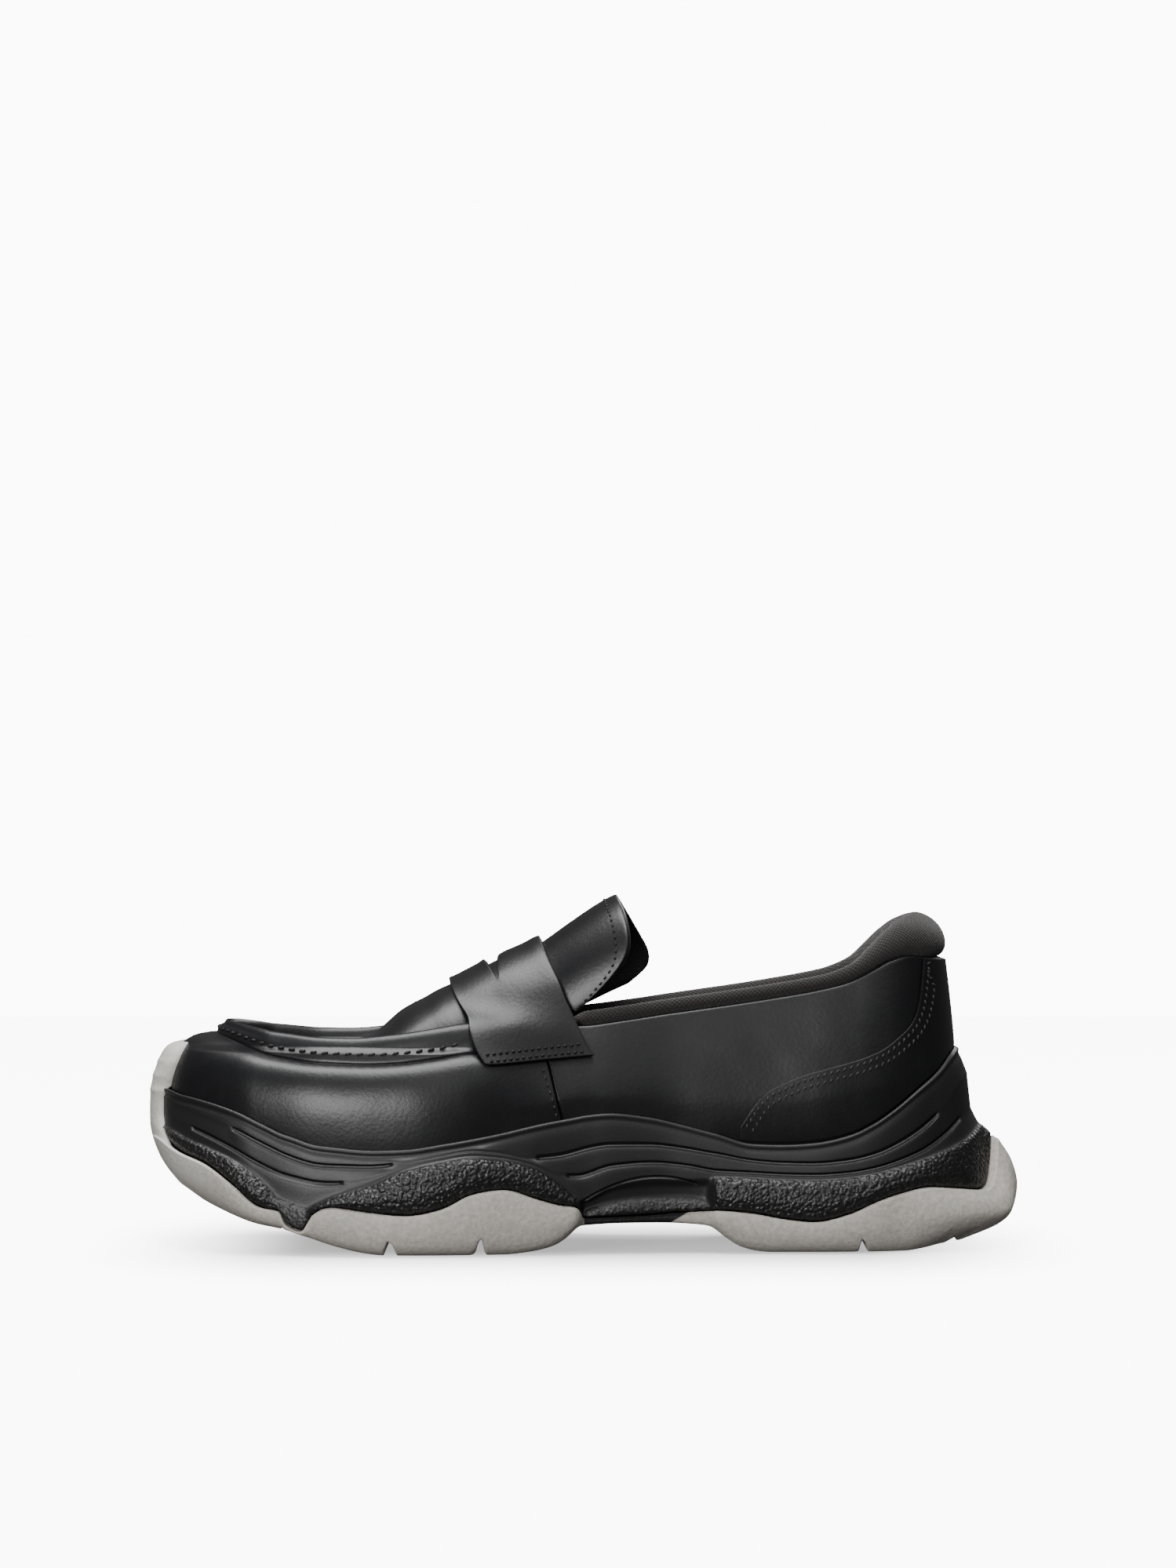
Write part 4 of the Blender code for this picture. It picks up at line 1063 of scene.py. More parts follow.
def make_outsole(finish):
    """Grey rubber: a lip round the side, lugs with cross grooves, and the toe tab."""
    extra = set()
    for apex, _, start, end, _ in GROOVES:
        extra |= {start - 0.2, start, mix(start, apex, 0.5), apex, mix(apex, end, 0.5), end}
        extra.add(end + 0.2)
    places = sorted(set(SOLE_PLACES) | {x for x in extra if x < HEEL_X - 0.5})
    rounds = stations(places)
    sections = []
    for station in rounds:
        rows = outsole_profile(station)
        ledge_out, ledge_z = rows[3]
        lip_out, lip_z = rows[4]
        shoulder_out, shoulder_z = rows[5]
        rows[4:6] = [
            (mix(ledge_out, lip_out, 0.6), mix(ledge_z, lip_z, 0.9)),
            (lip_out - 0.6, lip_z - 0.05),
            (lip_out + 0.15, lip_z - 0.7),
            (mix(lip_out + 0.2, shoulder_out, 0.6), mix(lip_z, shoulder_z, 0.5)),
            (shoulder_out, shoulder_z),
        ]
        sections.append(denser(rows, OUTSOLE_STEPS, curved=(6, 7, 8, 9, 10)))
    cut_grooves(rounds, sections)
    skin = Skin()
    skin.loft(rounds, sections)
    skin.cover(rounds, sections, 0, sole_cover(0.0, "floor"))
    under = sole_cover(0.0, "middle")

    def underside(one, other, share):
        point = under(one, other, share)
        point.z = max(point.z, groove_height(point.x))
        return point

    skin.cover(rounds, sections, -1, underside, 14)
    grow_tab(skin)
    made = skin.finish("outsole_rubber", finish)
    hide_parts("outsole")
    return made


# Steps in each gap of the midsole's section, and the rows where the pods begin and end.
MIDSOLE_STEPS = (1, 1, 1, 1, 1, 1, 1, 2, 1, 1, 3, 1, 1, 2, 1, 3, 4, 3, 1, 1, 1)
RIM_ROW = 3
POD_TOP_ROW = sum(MIDSOLE_STEPS[:14])
POD_FOOT_ROW = sum(MIDSOLE_STEPS[:18])
LENS_SWELL = 1.9     # how far the lens stands out
FAR_OFF = 9.0        # height over a moulded line past which it no longer matters


def make_midsole(finish):
    """The foam cup: rolled rim, two moulded lines, pods and the shank's lens."""
    rounds = stations(SOLE_PLACES)
    sections, shares, lens_shares = [], [], []
    for station in rounds:
        rows = midsole_profile(station)
        rim_out, rim_z = rows[3]
        bead_out = rows[4][0]
        swell = max(0.0, FORM("swell", station.key))
        edge_out, edge_z = rows[11]
        rows[11:12] = [(edge_out, edge_z + 0.35), (edge_out + 1.3 * swell, edge_z - 0.45)]
        rows[3:5] = [
            (rim_out, rim_z),
            (rim_out + 0.6, rim_z - 0.2),
            (bead_out + 0.35, rim_z - 1.0),
            (bead_out - 0.7, rim_z - 2.2),
            (bead_out + 0.3, rim_z - 3.2),
        ]
        rows = denser(rows, MIDSOLE_STEPS)
        lens = [0.0] * len(rows)
        if LENS.rows[0][0] < station.key < LENS.rows[-1][0]:
            top, bottom = LENS("top", station.key), LENS("bottom", station.key)
            for number in range(POD_TOP_ROW, POD_FOOT_ROW + 1):
                out, z = rows[number]
                if bottom < z < top:
                    lens[number] = math.sin(math.pi * (z - bottom) / (top - bottom)) ** 0.5
                    rows[number] = (out + LENS_SWELL * lens[number], z)
        sections.append(rows)
        lens_shares.append(lens)
        shares.append(min(1.0, swell * 1.6))

    def masks(column, row):
        key = rounds[column].key
        z = sections[column][row][1]
        pod = shares[column] if row > POD_TOP_ROW else 0.0
        values = {"pebble": max(pod, 0.7 * lens_shares[column][row])}
        for line in ("upper", "lower"):
            over = min(max(z - SIDE(line, key), -FAR_OFF), FAR_OFF)
            values["over_" + line] = over if RIM_ROW <= row <= POD_FOOT_ROW else FAR_OFF
            values[line + "_cut"] = LINES(line, key)
        return values

    skin = Skin()
    skin.loft(rounds, sections, masks=masks)
    skin.cover(rounds, sections, 0, level)
    skin.cover(rounds, sections, -1, sole_cover(FLOOR_GAP, "floor"))
    made = skin.finish("midsole_foam", finish)
    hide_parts("midsole")
    return made


# The upper. Its leather has rows below the widest point, rows up to the band's shoulder,
# and then the stitched band's own.
UPPER_PLACES = close_places(2.4, (THROAT_X,))
LOW_ROWS = 6
HIGH_ROWS = 10
BAND_SECTION = (
    # outward of the edge, measured up from, up
    (4.8, "shoulder", -0.2),
    (5.5, "shoulder", 0.1),
    (5.6, "shoulder", 0.9),
    (5.0, "shoulder", 2.4),
    (4.3, "shoulder", 3.7),
    (4.2, "shoulder", 4.6),
    (3.4, "edge", -3.0),
    (2.6, "edge", -1.5),
    (1.5, "edge", -0.4),
    (0.2, "edge", 0.0),
    (-1.0, "edge", -0.5),
    (-1.9, "edge", -1.8),
    (-2.3, "edge", -3.6),
    (-2.6, "edge", -6.0),
)


def leather_rows(station):
    """The leather's outer side in full detail, from the bottom edge to its top edge."""
    x = station.x
    widest, edge, inset = UPPER("widest", x), UPPER("edge", x), UPPER("inset", x)
    foot = BED("z", x - TUCK * station.out.x)
    shoulder = edge - UPPER("band", x)
    share = front_share(x)
    rows = []
    for k in range(LOW_ROWS):
        z = mix(foot + GAP, widest, k / (LOW_ROWS - 1))
        rows.append((wall(station, z), z))
    for k in range(1, HIGH_ROWS + 1):
        front, rear = k / (HIGH_ROWS + 0.3), 0.055 * k
        z = mix(mix(widest, edge, rear), mix(widest, shoulder, front), share)
        rows.append((wall(station, z), z))
    level_of = {"shoulder": shoulder, "edge": edge}
    count = len(BAND_SECTION)
    for number, (outward, base, up) in enumerate(BAND_SECTION, 1):
        rear = mix(0.55, 1.0, number / count)
        lean = -inset * rear**LEAN_POWER
        if outward > 0:
            outward *= 1 - 0.6 * station.toe
            up *= min(1.0, UPPER("band", x) / 9.0)
            if base == "edge":
                outward -= 1.5 * station.toe
        out = mix(lean, outward - inset, share)
        rows.append((out, mix(mix(widest, edge, rear), level_of[base] + up, share)))
    return rows


def leather_inner_rows(station):
    """The leather's inner side, which doesn't follow the band."""
    rows = leather_rows(station)
    share = front_share(station.x)
    first = len(rows) - len(BAND_SECTION) - 2
    inner = [(out - LEATHER, z) for out, z in rows]
    low = inner[first]
    high = (rows[-1][0] - LEATHER * 0.7, rows[-1][1] - LEATHER * share)
    for number in range(first, len(rows)):
        part = (number - first) / (len(rows) - 1 - first)
        smooth = (mix(low[0], high[0], part), mix(low[1], high[1], part))
        inner[number] = tuple(mix(a, b, share) for a, b in zip(inner[number], smooth))
    return inner


CROWN_TRIM = 0.4     # the crown is this much lower on the inner side


def make_upper(finish):
    """One hollow shell: outer and inner leather, and the edges that join the two."""
    rounds = stations(UPPER_PLACES)
    throat = UPPER_PLACES.index(THROAT_X) + 1
    count = len(rounds)
    steps = 30
    shares = even_turns(steps)
    skin = Skin()
    shells = []
    for rows_of, trim, lined in ((leather_rows, 0.0, 0.0), (leather_inner_rows, CROWN_TRIM, 1.0)):
        sections = [rows_of(station) for station in rounds]
        shells.append(sections)

        def masks(column, row, lined=lined):
            return {"lining": lined}

        skin.loft(rounds, sections, masks=masks)

        def place(column, number, sections=sections, trim=trim):
            outer = rounds[column].at(*sections[column][-1])
            inner = rounds[-column].at(*sections[-column][-1])
            if number in (0, steps) or column == 0:
                return outer if number == 0 else inner
            return arch(rounds[column].x, outer, inner, shares[number], trim)

        skin.grid(throat, steps, place, masks)

    def foot_edge(column, row):
        column %= count
        return rounds[column].at(*shells[row][column][0])

    def rear_edge(column, row):
        column += throat
        return rounds[column].at(*shells[row][column][-1])

    def throat_edge(column, row):
        outer = rounds[throat].at(*shells[row][throat][-1])
        inner = rounds[-throat].at(*shells[row][-throat][-1])
        if column in (0, steps):
            return outer if column == 0 else inner
        return arch(rounds[throat].x, outer, inner, shares[column], CROWN_TRIM * row)

    skin.grid(count, 1, foot_edge)
    skin.grid(count - 2 * throat, 1, rear_edge)
    skin.grid(steps, 1, throat_edge)
    made = skin.finish("upper_leather", finish)
    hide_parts("upper")
    return made


def make_insole(finish):
    """The footbed, slightly dished."""
    rounds = stations(close_places(4.0))
    room = TUCK + LEATHER + 2 * GAP
    sections = []
    for station in rounds:
        foot = BED("z", station.x - room * station.out.x)
        rows = [(-room - 0.6, foot + GAP), (-room, foot + 0.9), (-room, foot + 2.8)]
        rows += [(-room - 0.8, foot + INSOLE_WALL), (-room - 2.4, foot + INSOLE_WALL)]
        sections.append(rows)

    def dished(one, other, share):
        point = level(one, other, share)
        point.z -= 1.0 * (1 - share * share)
        return point

    skin = Skin()
    skin.loft(rounds, sections)
    skin.cover(rounds, sections, 0, level)
    skin.cover(rounds, sections, -1, dished, 10)
    weave_flat(skin)
    made = skin.finish("insole_cloth", finish)
    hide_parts("insole")
    return made


def weave_flat(skin):
    """Lays the cloth's weave straight over the piece, seen from above."""
    layer = skin.mesh.loops.layers.uv.new("weave")
    for face in skin.mesh.faces:
        for corner in face.loops:
            spot = corner.vert.co / MM
            corner[layer].uv = (spot.x, spot.y)


def sheet_shell(name, finish, across, along, place, thick, open_at=None, drawn=0):
    """A sheet with its thickness added on the inner side, its rim rounded.

    open_at(face) is true where the sheet is cut out, and drawn is how often the leather
    is smoothed before that.
    """
    skin = Skin()
    skin.grid(across, along, place)
    mesh = skin.mesh
    bmesh.ops.remove_doubles(mesh, verts=mesh.verts, dist=1e-5)
    for _ in range(drawn):
        bmesh.ops.smooth_vert(mesh, verts=mesh.verts, factor=0.5, use_axis_y=True, use_axis_z=True)
    if open_at:
        cut_out = [face for face in mesh.faces if open_at(face)]
        bmesh.ops.delete(mesh, geom=cut_out, context="FACES")
    bmesh.ops.recalc_face_normals(mesh, faces=mesh.faces)
    if sum(face.normal.z * face.calc_area() for face in mesh.faces) < 0:
        bmesh.ops.reverse_faces(mesh, faces=mesh.faces)
    made = show(name, mesh, finish)
    solid = made.modifiers.new("wall", "SOLIDIFY")
    solid.thickness = thick * MM
    solid.offset = -1.0
    solid.use_even_offset = False
    solid.use_quality_normals = True
    rim = made.modifiers.new("rim", "BEVEL")
    rim.width = 0.3 * thick * MM
    rim.segments = 2
    rim.limit_method = "ANGLE"
    rim.angle_limit = math.radians(60)
    subdivide(made, 1)
    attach(made, "root")
    return made


# Where the strap bends over the stitched band: outward and upward of the band's edge.
RIDGE_SPOTS = ((5.6, -1.6), (3.4, 0.6), (1.0, 2.0))


def strap_share(place):
    """0 at the strap's front edge, 1 at its back edge."""
    return (place - STRAP_FRONT_X) / (STRAP_BACK_X - STRAP_FRONT_X)


def strap_line(place):
    """Points across the strap's top side at one place, outer side to inner side."""
    low = mix(STRAP_LOW_FRONT, STRAP_LOW_BACK, strap_share(place))
    reach = STRAP_GAP + STRAP_WALL
    legs, edges = [], []
    for side in (-1, 1):
        leg = []
        for k in range(7):
            height = mix(low, STRAP_BAND_Z, k / 6)
            station = Station(place - INSTEP_TILT * (height - TILT_Z), side)
            leg.append(station.at(wall(station, height) + reach, height))
        edge = UPPER("edge", place)
        ridge = Station(place - INSTEP_TILT * (edge - TILT_Z), side)
        for out, up in RIDGE_SPOTS:
            leg.append(ridge.at(out - UPPER("inset", ridge.x), UPPER("edge", ridge.x) + up))
        station = Station(place, side)
        legs.append(leg)
        edges.append(station.at(*leather_rows(station)[-1]))
    outer, inner = edges
    lift = reach * Vector((-INSTEP_TILT, 0, 1)).normalized()
    top = []
    for turn in even_turns(32):
        share = 0.96 * turn
        point = arch(place, outer, inner, share)
        point.x += INSTEP_TILT * (TILT_Z - outer.z) * (1 - eased((point.z - TILT_Z) / 12.0))
        lean = Vector((0, share * abs(share) ** 2, 0)) * reach
        top.append(point + lift * (1 - abs(share) ** 6 * 0.4) + lean)
    return relaxed(legs[0] + top + legs[1][::-1], 30)


def relaxed(line, rounds):
    """Leather drawn tight: each point moves to the middle of its neighbours, outwards only."""
    for _ in range(rounds):
        new = list(line)
        for k in range(2, len(line) - 2):
            middle = (line[k - 1] + line[k + 1]) / 2
            outward = Vector((0, line[k].y, 25.0)).normalized()
            if (middle - line[k]).dot(outward) > 0:
                new[k] = mix(line[k], middle, 0.9)
        line = new
    return line


def make_strap(finish):
    """The strap's slot opens between two rows that part over the crest."""
    rows_before, rows_after = 9, 9
    middle_y = crest_middle(STRAP_MIDDLE) + SIDE_SHIFT
    guides = 24
    lines = [strap_line(mix(STRAP_FRONT_X, STRAP_BACK_X, k / guides)) for k in range(guides + 1)]
    centre_line = strap_line(STRAP_MIDDLE)

    def slot_half(y):
        return SLOT_HALF_WIDTH * max(0.0, 1 - abs((y - middle_y) / SLOT_HALF_LENGTH) ** 1.6)

    def place(column, row):
        centre = centre_line[column]
        half = slot_half(centre.y)
        front = STRAP_FRONT_X + STRAP_SLOPE * eased((centre.z - 72.0) / 16.0)
        if row <= rows_before:
            spot = mix(front, STRAP_MIDDLE - half, row / rows_before)
        else:
            spot = mix(STRAP_MIDDLE + half, STRAP_BACK_X, (row - rows_before - 1) / rows_after)
        step = strap_share(spot) * guides
        guide = min(int(step), guides - 1)
        return lines[guide][column].lerp(lines[guide + 1][column], step - guide)

    def in_slot(face):
        middle = sum((vertex.co for vertex in face.verts), Vector()) / len(face.verts) / MM
        nearest = min(centre_line, key=lambda point: abs(point.y - middle.y))
        away = middle - nearest
        return slot_half(middle.y) > 0.3 and abs(away.x + INSTEP_TILT * away.z) < 0.35

    across, along = len(centre_line) - 1, rows_before + rows_after + 1
    made = sheet_shell(
        "strap_leather", finish, across, along, place, STRAP_WALL, open_at=in_slot, drawn=5
    )
    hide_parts("strap")
    return made


def rear_round(places):
    """Stations from the outer side round the heel to the inner side."""
    outer = [Station(x, -1) for x in places]
    inner = [Station(x, 1) for x in reversed(places)]
    return outer + [Station(HEEL_X, 0)] + inner


def make_counter(finish):
    """The leather piece round the heel, from the sole's rim up to its stitched edge."""
    line = rear_round([x for x in close_places(1.6) if x >= COUNTER.rows[0][0]])
    steps = 16
    reach = GAP + COUNTER_WALL

    def place(column, row):
        station = line[column]
        low = SIDE("rim", station.key) + 0.6
        high = min(COUNTER("z", station.x), UPPER("edge", station.x) - 0.8)
        z = mix(low, high, row / steps)
        return station.at(wall(station, z) + reach, z)

    made = sheet_shell("counter_leather", finish, len(line) - 1, steps, place, COUNTER_WALL)
    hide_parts("counter")
    return made


# The padded collar's section, out and up from the outer corner of the leather's edge. It
# is fuller at the back than its solid.
COLLAR_SHAPE = (
    # side out, side up, back out, back up
    (-2.4, -12.0, -2.4, -12.0),
    (-2.4, 0.4, -2.4, 0.4),
    (-0.6, 0.4, -0.4, 0.4),
    (0.3, 1.7, 1.7, 3.2),
    (-0.1, 4.2, 1.2, 8.8),
    (-2.3, 5.6, -3.0, 14.2),
    (-5.0, 3.8, -9.8, 16.9),
    (-6.6, -2.0, -15.4, 12.0),
    (-5.6, -12.0, -11.5, -12.0),
)


COLLAR_START_X = -5.0


def collar_section(station):
    edge, inset = UPPER("edge", station.x), UPPER("inset", station.x)
    back = COLLAR_SHARE("back", station.x)
    front = mix(0.15, 1.0, eased((station.x - COLLAR_START_X) / 8.0))
    points = []
    for side_out, side_up, back_out, back_up in COLLAR_SHAPE:
        out = mix(side_out, back_out, back) - inset
        up = mix(side_up, back_up, back)
        points.append((out, edge + (up * front if up > 0.5 else up)))
    points.append(points[0])
    return denser(points, (2, 1, 1, 1, 1, 1, 2, 2, 1))


def weave_along(skin, line, sections):
    """Lays the cloth's weave along the line and round its sections."""
    layer = skin.mesh.loops.layers.uv.new("weave")
    run = [0.0]
    for a, b in zip(line, line[1:]):
        run.append(run[-1] + math.dist((a.x, a.y), (b.x, b.y)))
    spots = {}
    for column, station in enumerate(line):
        height = 0.0
        for row, point in enumerate(sections[column]):
            if row:
                height += math.dist(point, sections[column][row - 1])
            spots[spot_key(station.at(*point))] = (run[column], height)
    for face in skin.mesh.faces:
        for corner in face.loops:
            corner[layer].uv = spots.get(spot_key(corner.vert.co / MM), (0.0, 0.0))


def spot_key(spot):
    return tuple(round(number, 2) for number in spot)


def make_collar(finish):
    """The padded cloth roll round the opening, highest at the back of the heel."""
    line = rear_round([x for x in UPPER_PLACES if x >= COLLAR_START_X])
    sections = [collar_section(station) for station in line]
    skin = Skin()
    skin.loft(line, sections, closed=False)
    weave_along(skin, line, sections)
    bmesh.ops.remove_doubles(skin.mesh, verts=skin.mesh.verts, dist=1e-6)
    bmesh.ops.holes_fill(skin.mesh, edges=skin.mesh.edges, sides=0)
    made = skin.finish("collar_cloth", finish, levels=2)
    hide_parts("collar")
    return made


TONGUE_COLUMNS = 40


def tongue_edge(share):
    """The drop from the crest at a share of the width, its side's name, and its end's run."""
    drop = 1 - math.sqrt(max(0.0, 1 - abs(share) ** ARCH_POWER))
    side = "outer" if share < 0 else "inner"
    return drop, side, TONGUE_CREST.rows[-1][0] - TONGUE_END(side, drop)


def tongue_point(share, run_share, depth):
    """A point of the tongue: across it, along it, and so deep under its leather."""
    drop, side, end = tongue_edge(share)
    run = GAP + (end - GAP) * run_share
    half = TONGUE_CREST(side, run) - depth
    fall = TONGUE_CREST(side + "_drop", run) - depth
    lean = TONGUE_CREST("lean", run)
    down = (depth + fall * drop) / math.hypot(1.0, lean)
    y = TONGUE_MIDDLE + half * share + SIDE_SHIFT
    return Vector((TONGUE_CREST("x", run) + lean * down, y, TONGUE_CREST("z", run) - down))


def make_tongue(finish):
    """The padded tongue, leather above and lining below, with a rounded end."""
    steps = 18
    loop = [(k / steps, 0.0) for k in range(steps + 1)]
    loop += [(1.012, TONGUE_WALL * 0.2), (1.016, TONGUE_WALL * 0.5), (1.008, TONGUE_WALL * 0.8)]
    loop += [(1 - k / steps, TONGUE_WALL) for k in range(steps + 1)]
    loop.append(loop[0])
    shares = even_turns(TONGUE_COLUMNS)

    def place(column, row):
        run_share, depth = loop[row]
        if column in (0, TONGUE_COLUMNS + 2):
            side = -1.0 if column == 0 else 1.0
            return tongue_point(side, min(run_share, 1.0), TONGUE_WALL / 2)
        return tongue_point(shares[column - 1], run_share, depth)

    def masks(column, row):
        return {"lining": 1.0 if steps + 1 < row < len(loop) - 1 else 0.0}

    skin = Skin()
    skin.grid(TONGUE_COLUMNS + 2, len(loop) - 1, place, masks)
    made = skin.finish("tongue_leather", finish)
    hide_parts("tongue")
    return made


# Stitching. Each path is a list of points with the direction out of the leather there.
def walk(path, spacing):
    """Evenly spaced places along a path of (point, outward) pairs, with the direction."""
    lengths = [0.0]
    for (a, _), (b, _) in zip(path, path[1:]):
        lengths.append(lengths[-1] + (b - a).length)
    count = max(1, int(lengths[-1] / spacing))
    segment = 0
    for k in range(count):
        target = (k + 0.5) * lengths[-1] / count
        while lengths[segment + 1] < target:
            segment += 1
        (a, a_out), (b, b_out) = path[segment], path[segment + 1]
        share = (target - lengths[segment]) / (lengths[segment + 1] - lengths[segment])
        yield a.lerp(b, share), (b - a).normalized(), a_out.lerp(b_out, share).normalized()


def make_stitches(name, paths, finish, spacing, length, width, slant=0.0):
    """Small flat beads of thread along the paths, turned by the slant off their run."""
    mesh = bmesh.new()
    for path in paths:
        for spot, along, outward in walk(path, spacing):
            across = outward.cross(along).normalized()
            along = (along + across * slant).normalized()
            across = outward.cross(along).normalized()
            turn = Matrix((along, across, outward)).transposed().to_4x4()
            size = Matrix.Diagonal((length / 2, width, width * 0.8, 1.0))
            place = Matrix.Translation(metres(spot)) @ turn @ Matrix.Scale(MM, 4) @ size
            bmesh.ops.create_icosphere(mesh, subdivisions=1, radius=1.0, matrix=place)
    made = show(name, mesh, finish)
    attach(made, "root")
    return made


def band_path(row, lift, start, end):
    """A path along the stitched band round the toe, on one row of its section."""
    outer = [Station(x, -1) for x in reversed(UPPER_PLACES) if start <= x <= end]
    inner = [Station(x, 1) for x in UPPER_PLACES if start <= x <= end]
    path = []
    for station in outer + inner:
        out, z = leather_rows(station)[row]
        outward = (station.out.to_3d() + Vector((0, 0, 0.35))).normalized()
        path.append((station.at(out + lift, z), outward))
    return path


def wall_spot(x, side, z, lift):
    """A point over the leather's wall, with the direction out of it."""
    station = Station(x, side)
    return station.at(wall(station, z) + lift, z), station.out.to_3d()


def counter_paths(inset, lift):
    """Paths inside the counter's edge, one on each side."""
    start, end, step = 56.0, 126.0, 0.8
    paths = []
    for side in (-1, 1):
        path = []
        for k in range(int((end - start) / step)):
            x = start + step * k
            slope = (COUNTER("z", x + step / 2) - COUNTER("z", x - step / 2)) / step
            length = math.hypot(1.0, slope)
            spot_x = x + inset * slope / length
            spot_z = COUNTER("z", x) - inset / length
            low, high = SIDE("rim", spot_x) + 1.0, UPPER("edge", spot_x) - 1.0
            if low < spot_z < high and spot_x < COUNTER.rows[-1][0] + 3:
                path.append(wall_spot(spot_x, side, spot_z, lift))
        paths.append(path)
    return paths


def strap_path(up, side):
    """A path along the strap's lower edge, so far up from it."""
    path = []
    for k in range(30):
        line = strap_line(mix(STRAP_FRONT_X + 2.0, STRAP_BACK_X - 2.0, k / 29))
        line = line if side < 0 else line[::-1]
        left = up
        for a, b in zip(line, line[1:]):
            step = (b - a).length
            if left <= step:
                along = (b - a).normalized()
                outward = (Vector((0, along.z, -along.y)) * -side).normalized()
                outward = outward if outward.y * side > 0 else -outward
                path.append((a.lerp(b, left / step) + outward * 0.3, outward))
                break
            left -= step
    return path


def tongue_path(inset):
    """A path inside the tongue's free edge."""
    path = []
    for turn in even_turns(60):
        share = 0.9995 * turn
        end = tongue_edge(share)[2]
        run_share = max(0.05, (end - inset) / end)
        point = tongue_point(share, run_share, 0.0)
        below = tongue_point(share, run_share, 1.0)
        path.append((point, (point - below).normalized()))
    return path


def seam_path(side):
    """A path in front of the side seam, from the sole's rim up to the strap."""
    heights = [47.5 + 0.5 * k for k in range(38)]
    return [wall_spot(seam_x(z) - 1.9, side, z, 0.1) for z in heights]


leather = make_leather("black_leather", seam=True, lining=True)
plain_leather = make_leather("trim_leather", sway=0.3)
tongue_leather = make_leather("tongue_leather", lining=True, sway=0.4)
collar_cloth = make_cloth(
    "woven_lining", (0.004, 0.0030, 0.0028, 1), (0.026, 0.0198, 0.0188, 1), scale=1.7
)
insole_cloth = make_cloth(
    "footbed_cloth", (0.006, 0.0055, 0.0055, 1), (0.020, 0.018, 0.0175, 1), scale=1.8
)
black_thread = make_thread("black_thread", 0.014)
jet_thread = make_thread("jet_thread", 0.002)
grey_thread = make_thread("dark_grey_thread", 0.032)

make_outsole(make_rubber())
make_midsole(make_foam())
make_insole(insole_cloth)
make_upper(leather)
make_counter(plain_leather)
make_strap(plain_leather)
make_tongue(tongue_leather)
make_collar(collar_cloth)

both_sides = (-1, 1)
stitch_row = LOW_ROWS + HIGH_ROWS + 4    # the band's row that the apron's stitches lie on
make_stitches(
    "apron_stitches", [band_path(stitch_row, 0.15, TOE_X, -40.0)], black_thread,
    spacing=4.2, length=3.0, width=0.55, slant=0.25,
)
make_stitches(
    "counter_stitches", counter_paths(1.8, 1.5) + counter_paths(4.4, 1.5), grey_thread,
    spacing=2.4, length=2.1, width=0.45, slant=0.8,
)
make_stitches(
    "strap_stitches", [strap_path(up, side) for up in (2.5, 5.4) for side in both_sides],
    jet_thread, spacing=2.3, length=1.5, width=0.55,
)
make_stitches(
    "tongue_stitches", [tongue_path(5.0)], jet_thread,
    spacing=2.6, length=1.7, width=0.5,
)
make_stitches(
    "side_seam_stitches", [seam_path(side) for side in both_sides], black_thread,
    spacing=2.6, length=1.9, width=0.5,
)

# The stage: a pale floor and backdrop, the lights and the camera.
FLOOR_GLOW = 9.0     # the floor is a light table, which keeps it as pale as the backdrop
FLOOR_HALF = 1.6
# The painted shadow under the shoe: how far its full part reaches, and how far it fades.
SHADE_X = 95.0       # the shadow's full part reaches this far to both ends
SHADE_Y = 25.0       # and this far to both sides
SHADE_FADE_X = 95.0  # and fades over these lengths
SHADE_FADE_Y = 150.0


def make_floor():
    """The floor glows, but for a painted soft shadow under the shoe, where its glow is dimmed."""
    finish = Finish("pale_floor", Roughness=0.6)
    finish.use("Base Color", finish.blend(finish.noise(120.0), grey(0.90), grey(0.92)))
    shade_x = (abs(finish.x) - SHADE_X).maths("MAXIMUM", 0.0) / SHADE_FADE_X
    shade_y = (abs(finish.y) - SHADE_Y).maths("MAXIMUM", 0.0) / SHADE_FADE_Y
    shade = (shade_x * shade_x + shade_y * shade_y).maths("SQRT")
    # painted shadow: the glow's colour darkens under the shoe; it is no cast shadow
    finish.use("Emission Color", finish.blend(shade.step(0.0, 1.0), grey(0.06), grey(1.0)))
    finish.use("Emission Strength", FLOOR_GLOW)
    mesh = bmesh.new()
    bmesh.ops.create_grid(mesh, x_segments=1, y_segments=1, size=FLOOR_HALF)
    bmesh.ops.translate(mesh, verts=mesh.verts, vec=(0, 0, -0.0002))
    floor = show("floor", mesh, finish.material)
    floor.visible_glossy = False
    floor.visible_diffuse = False


SKY_LOW = 0.10       # light from the horizon, as from a studio's dark walls
SKY_HIGH = 0.9       # and from overhead, as from its ceiling
SKY_SEEN = 11.0      # the backdrop that the camera sees is as pale as the floor


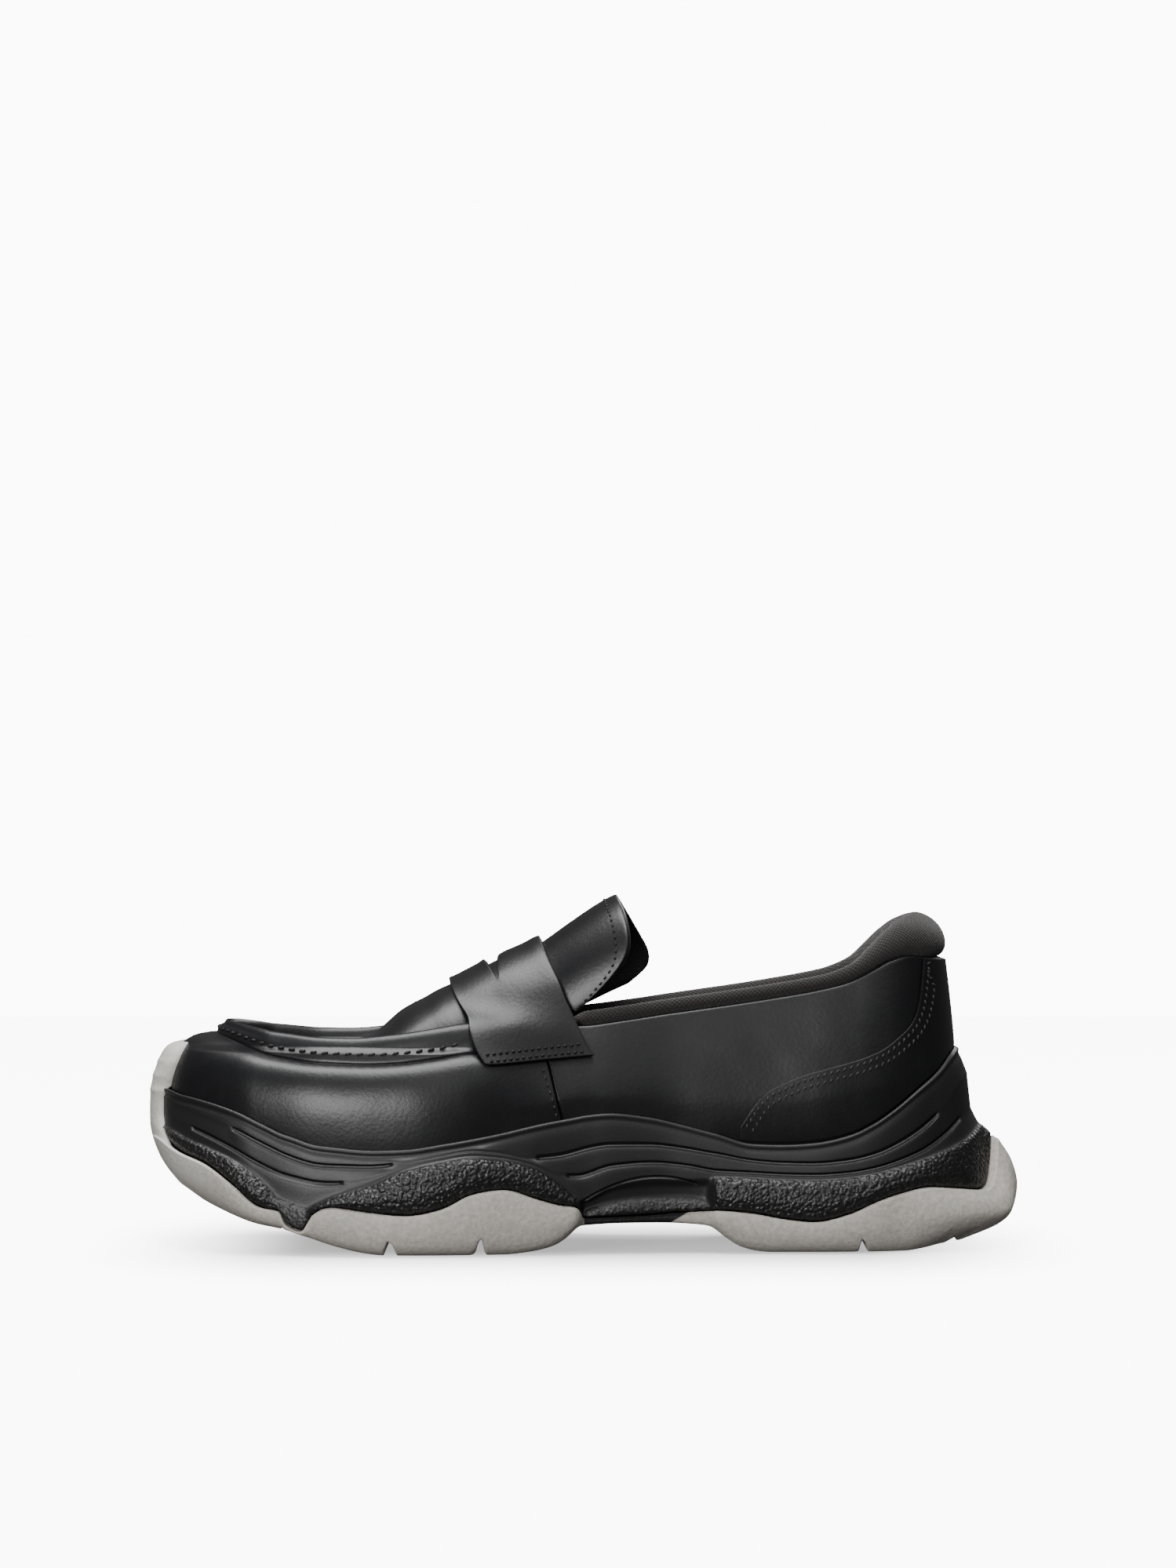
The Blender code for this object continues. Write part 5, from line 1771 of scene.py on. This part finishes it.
def make_sky():
    """Bright overhead and dim at the horizon, with a pale backdrop."""
    world = bpy.context.scene.world or bpy.data.worlds.new("studio")
    bpy.context.scene.world = world
    world.use_nodes = True
    tree = world.node_tree

    def node(kind, inputs=None):
        made = tree.nodes.new(kind)
        for number, value in (inputs or {}).items():
            if isinstance(value, bpy.types.NodeSocket):
                tree.links.new(value, made.inputs[number])
            else:
                made.inputs[number].default_value = value
        return made

    toward = node("ShaderNodeTexCoord").outputs["Generated"]
    height = node("ShaderNodeSeparateXYZ", {0: toward}).outputs["Z"]
    ceiling = node("ShaderNodeMapRange", {0: height, 1: 0.65, 2: 0.98, 3: SKY_LOW, 4: SKY_HIGH})
    seen = node("ShaderNodeLightPath").outputs["Is Camera Ray"]
    strength = node("ShaderNodeMix", {0: seen, 2: ceiling.outputs[0], 3: SKY_SEEN})
    sky = tree.nodes["Background"]
    sky.inputs["Color"].default_value = (1.0, 1.0, 1.0, 1.0)
    tree.links.new(strength.outputs[0], sky.inputs["Strength"])


def make_light(name, spot, target, size, power):
    """A softbox at the spot that faces the target, in metres and watts."""
    data = bpy.data.lights.new(name, "AREA")
    data.shape = "RECTANGLE"
    data.size, data.size_y = size
    data.energy = power
    lamp = bpy.data.objects.new(name, data)
    lamp.location = spot
    lamp.rotation_euler = (Vector(target) - Vector(spot)).to_track_quat("-Z", "Y").to_euler()
    bpy.context.scene.collection.objects.link(lamp)


CAMERA_TARGET = Vector((0, 0, 0.060))
CAMERA_DISTANCE = 2.2
CAMERA_RISE = math.radians(3.5)
CAMERA_DIP = math.radians(0.755)     # the axis points a little under the horizontal
CAMERA_TURN = math.radians(0.048)
CAMERA_LENS = 140.2


def make_camera():
    data = bpy.data.cameras.new("camera")
    data.sensor_width = 36.0
    data.lens = CAMERA_LENS
    camera = bpy.data.objects.new("camera", data)
    back = Vector((0, -math.cos(CAMERA_RISE), math.sin(CAMERA_RISE)))
    camera.location = CAMERA_TARGET + CAMERA_DISTANCE * back
    axis = Vector((math.sin(CAMERA_TURN), math.cos(CAMERA_TURN), -math.tan(CAMERA_DIP)))
    camera.rotation_euler = axis.to_track_quat("-Z", "Y").to_euler()
    bpy.context.scene.collection.objects.link(camera)
    bpy.context.scene.camera = camera


make_floor()
make_sky()
make_light("top_softbox", (-0.15, -0.10, 1.2), (0, 0, 0.06), (1.1, 0.5), 18)
make_light("front_softbox", (-0.62, -1.38, 0.32), (-0.08, 0, 0.05), (0.60, 0.40), 15)
make_light("wide_softbox", (0.30, -1.50, 1.10), (0, 0, 0.05), (1.6, 0.8), 3)
make_light("rear_softbox", (0.5, 1.0, 0.8), (0, 0, 0.06), (0.8, 0.4), 6)
make_camera()
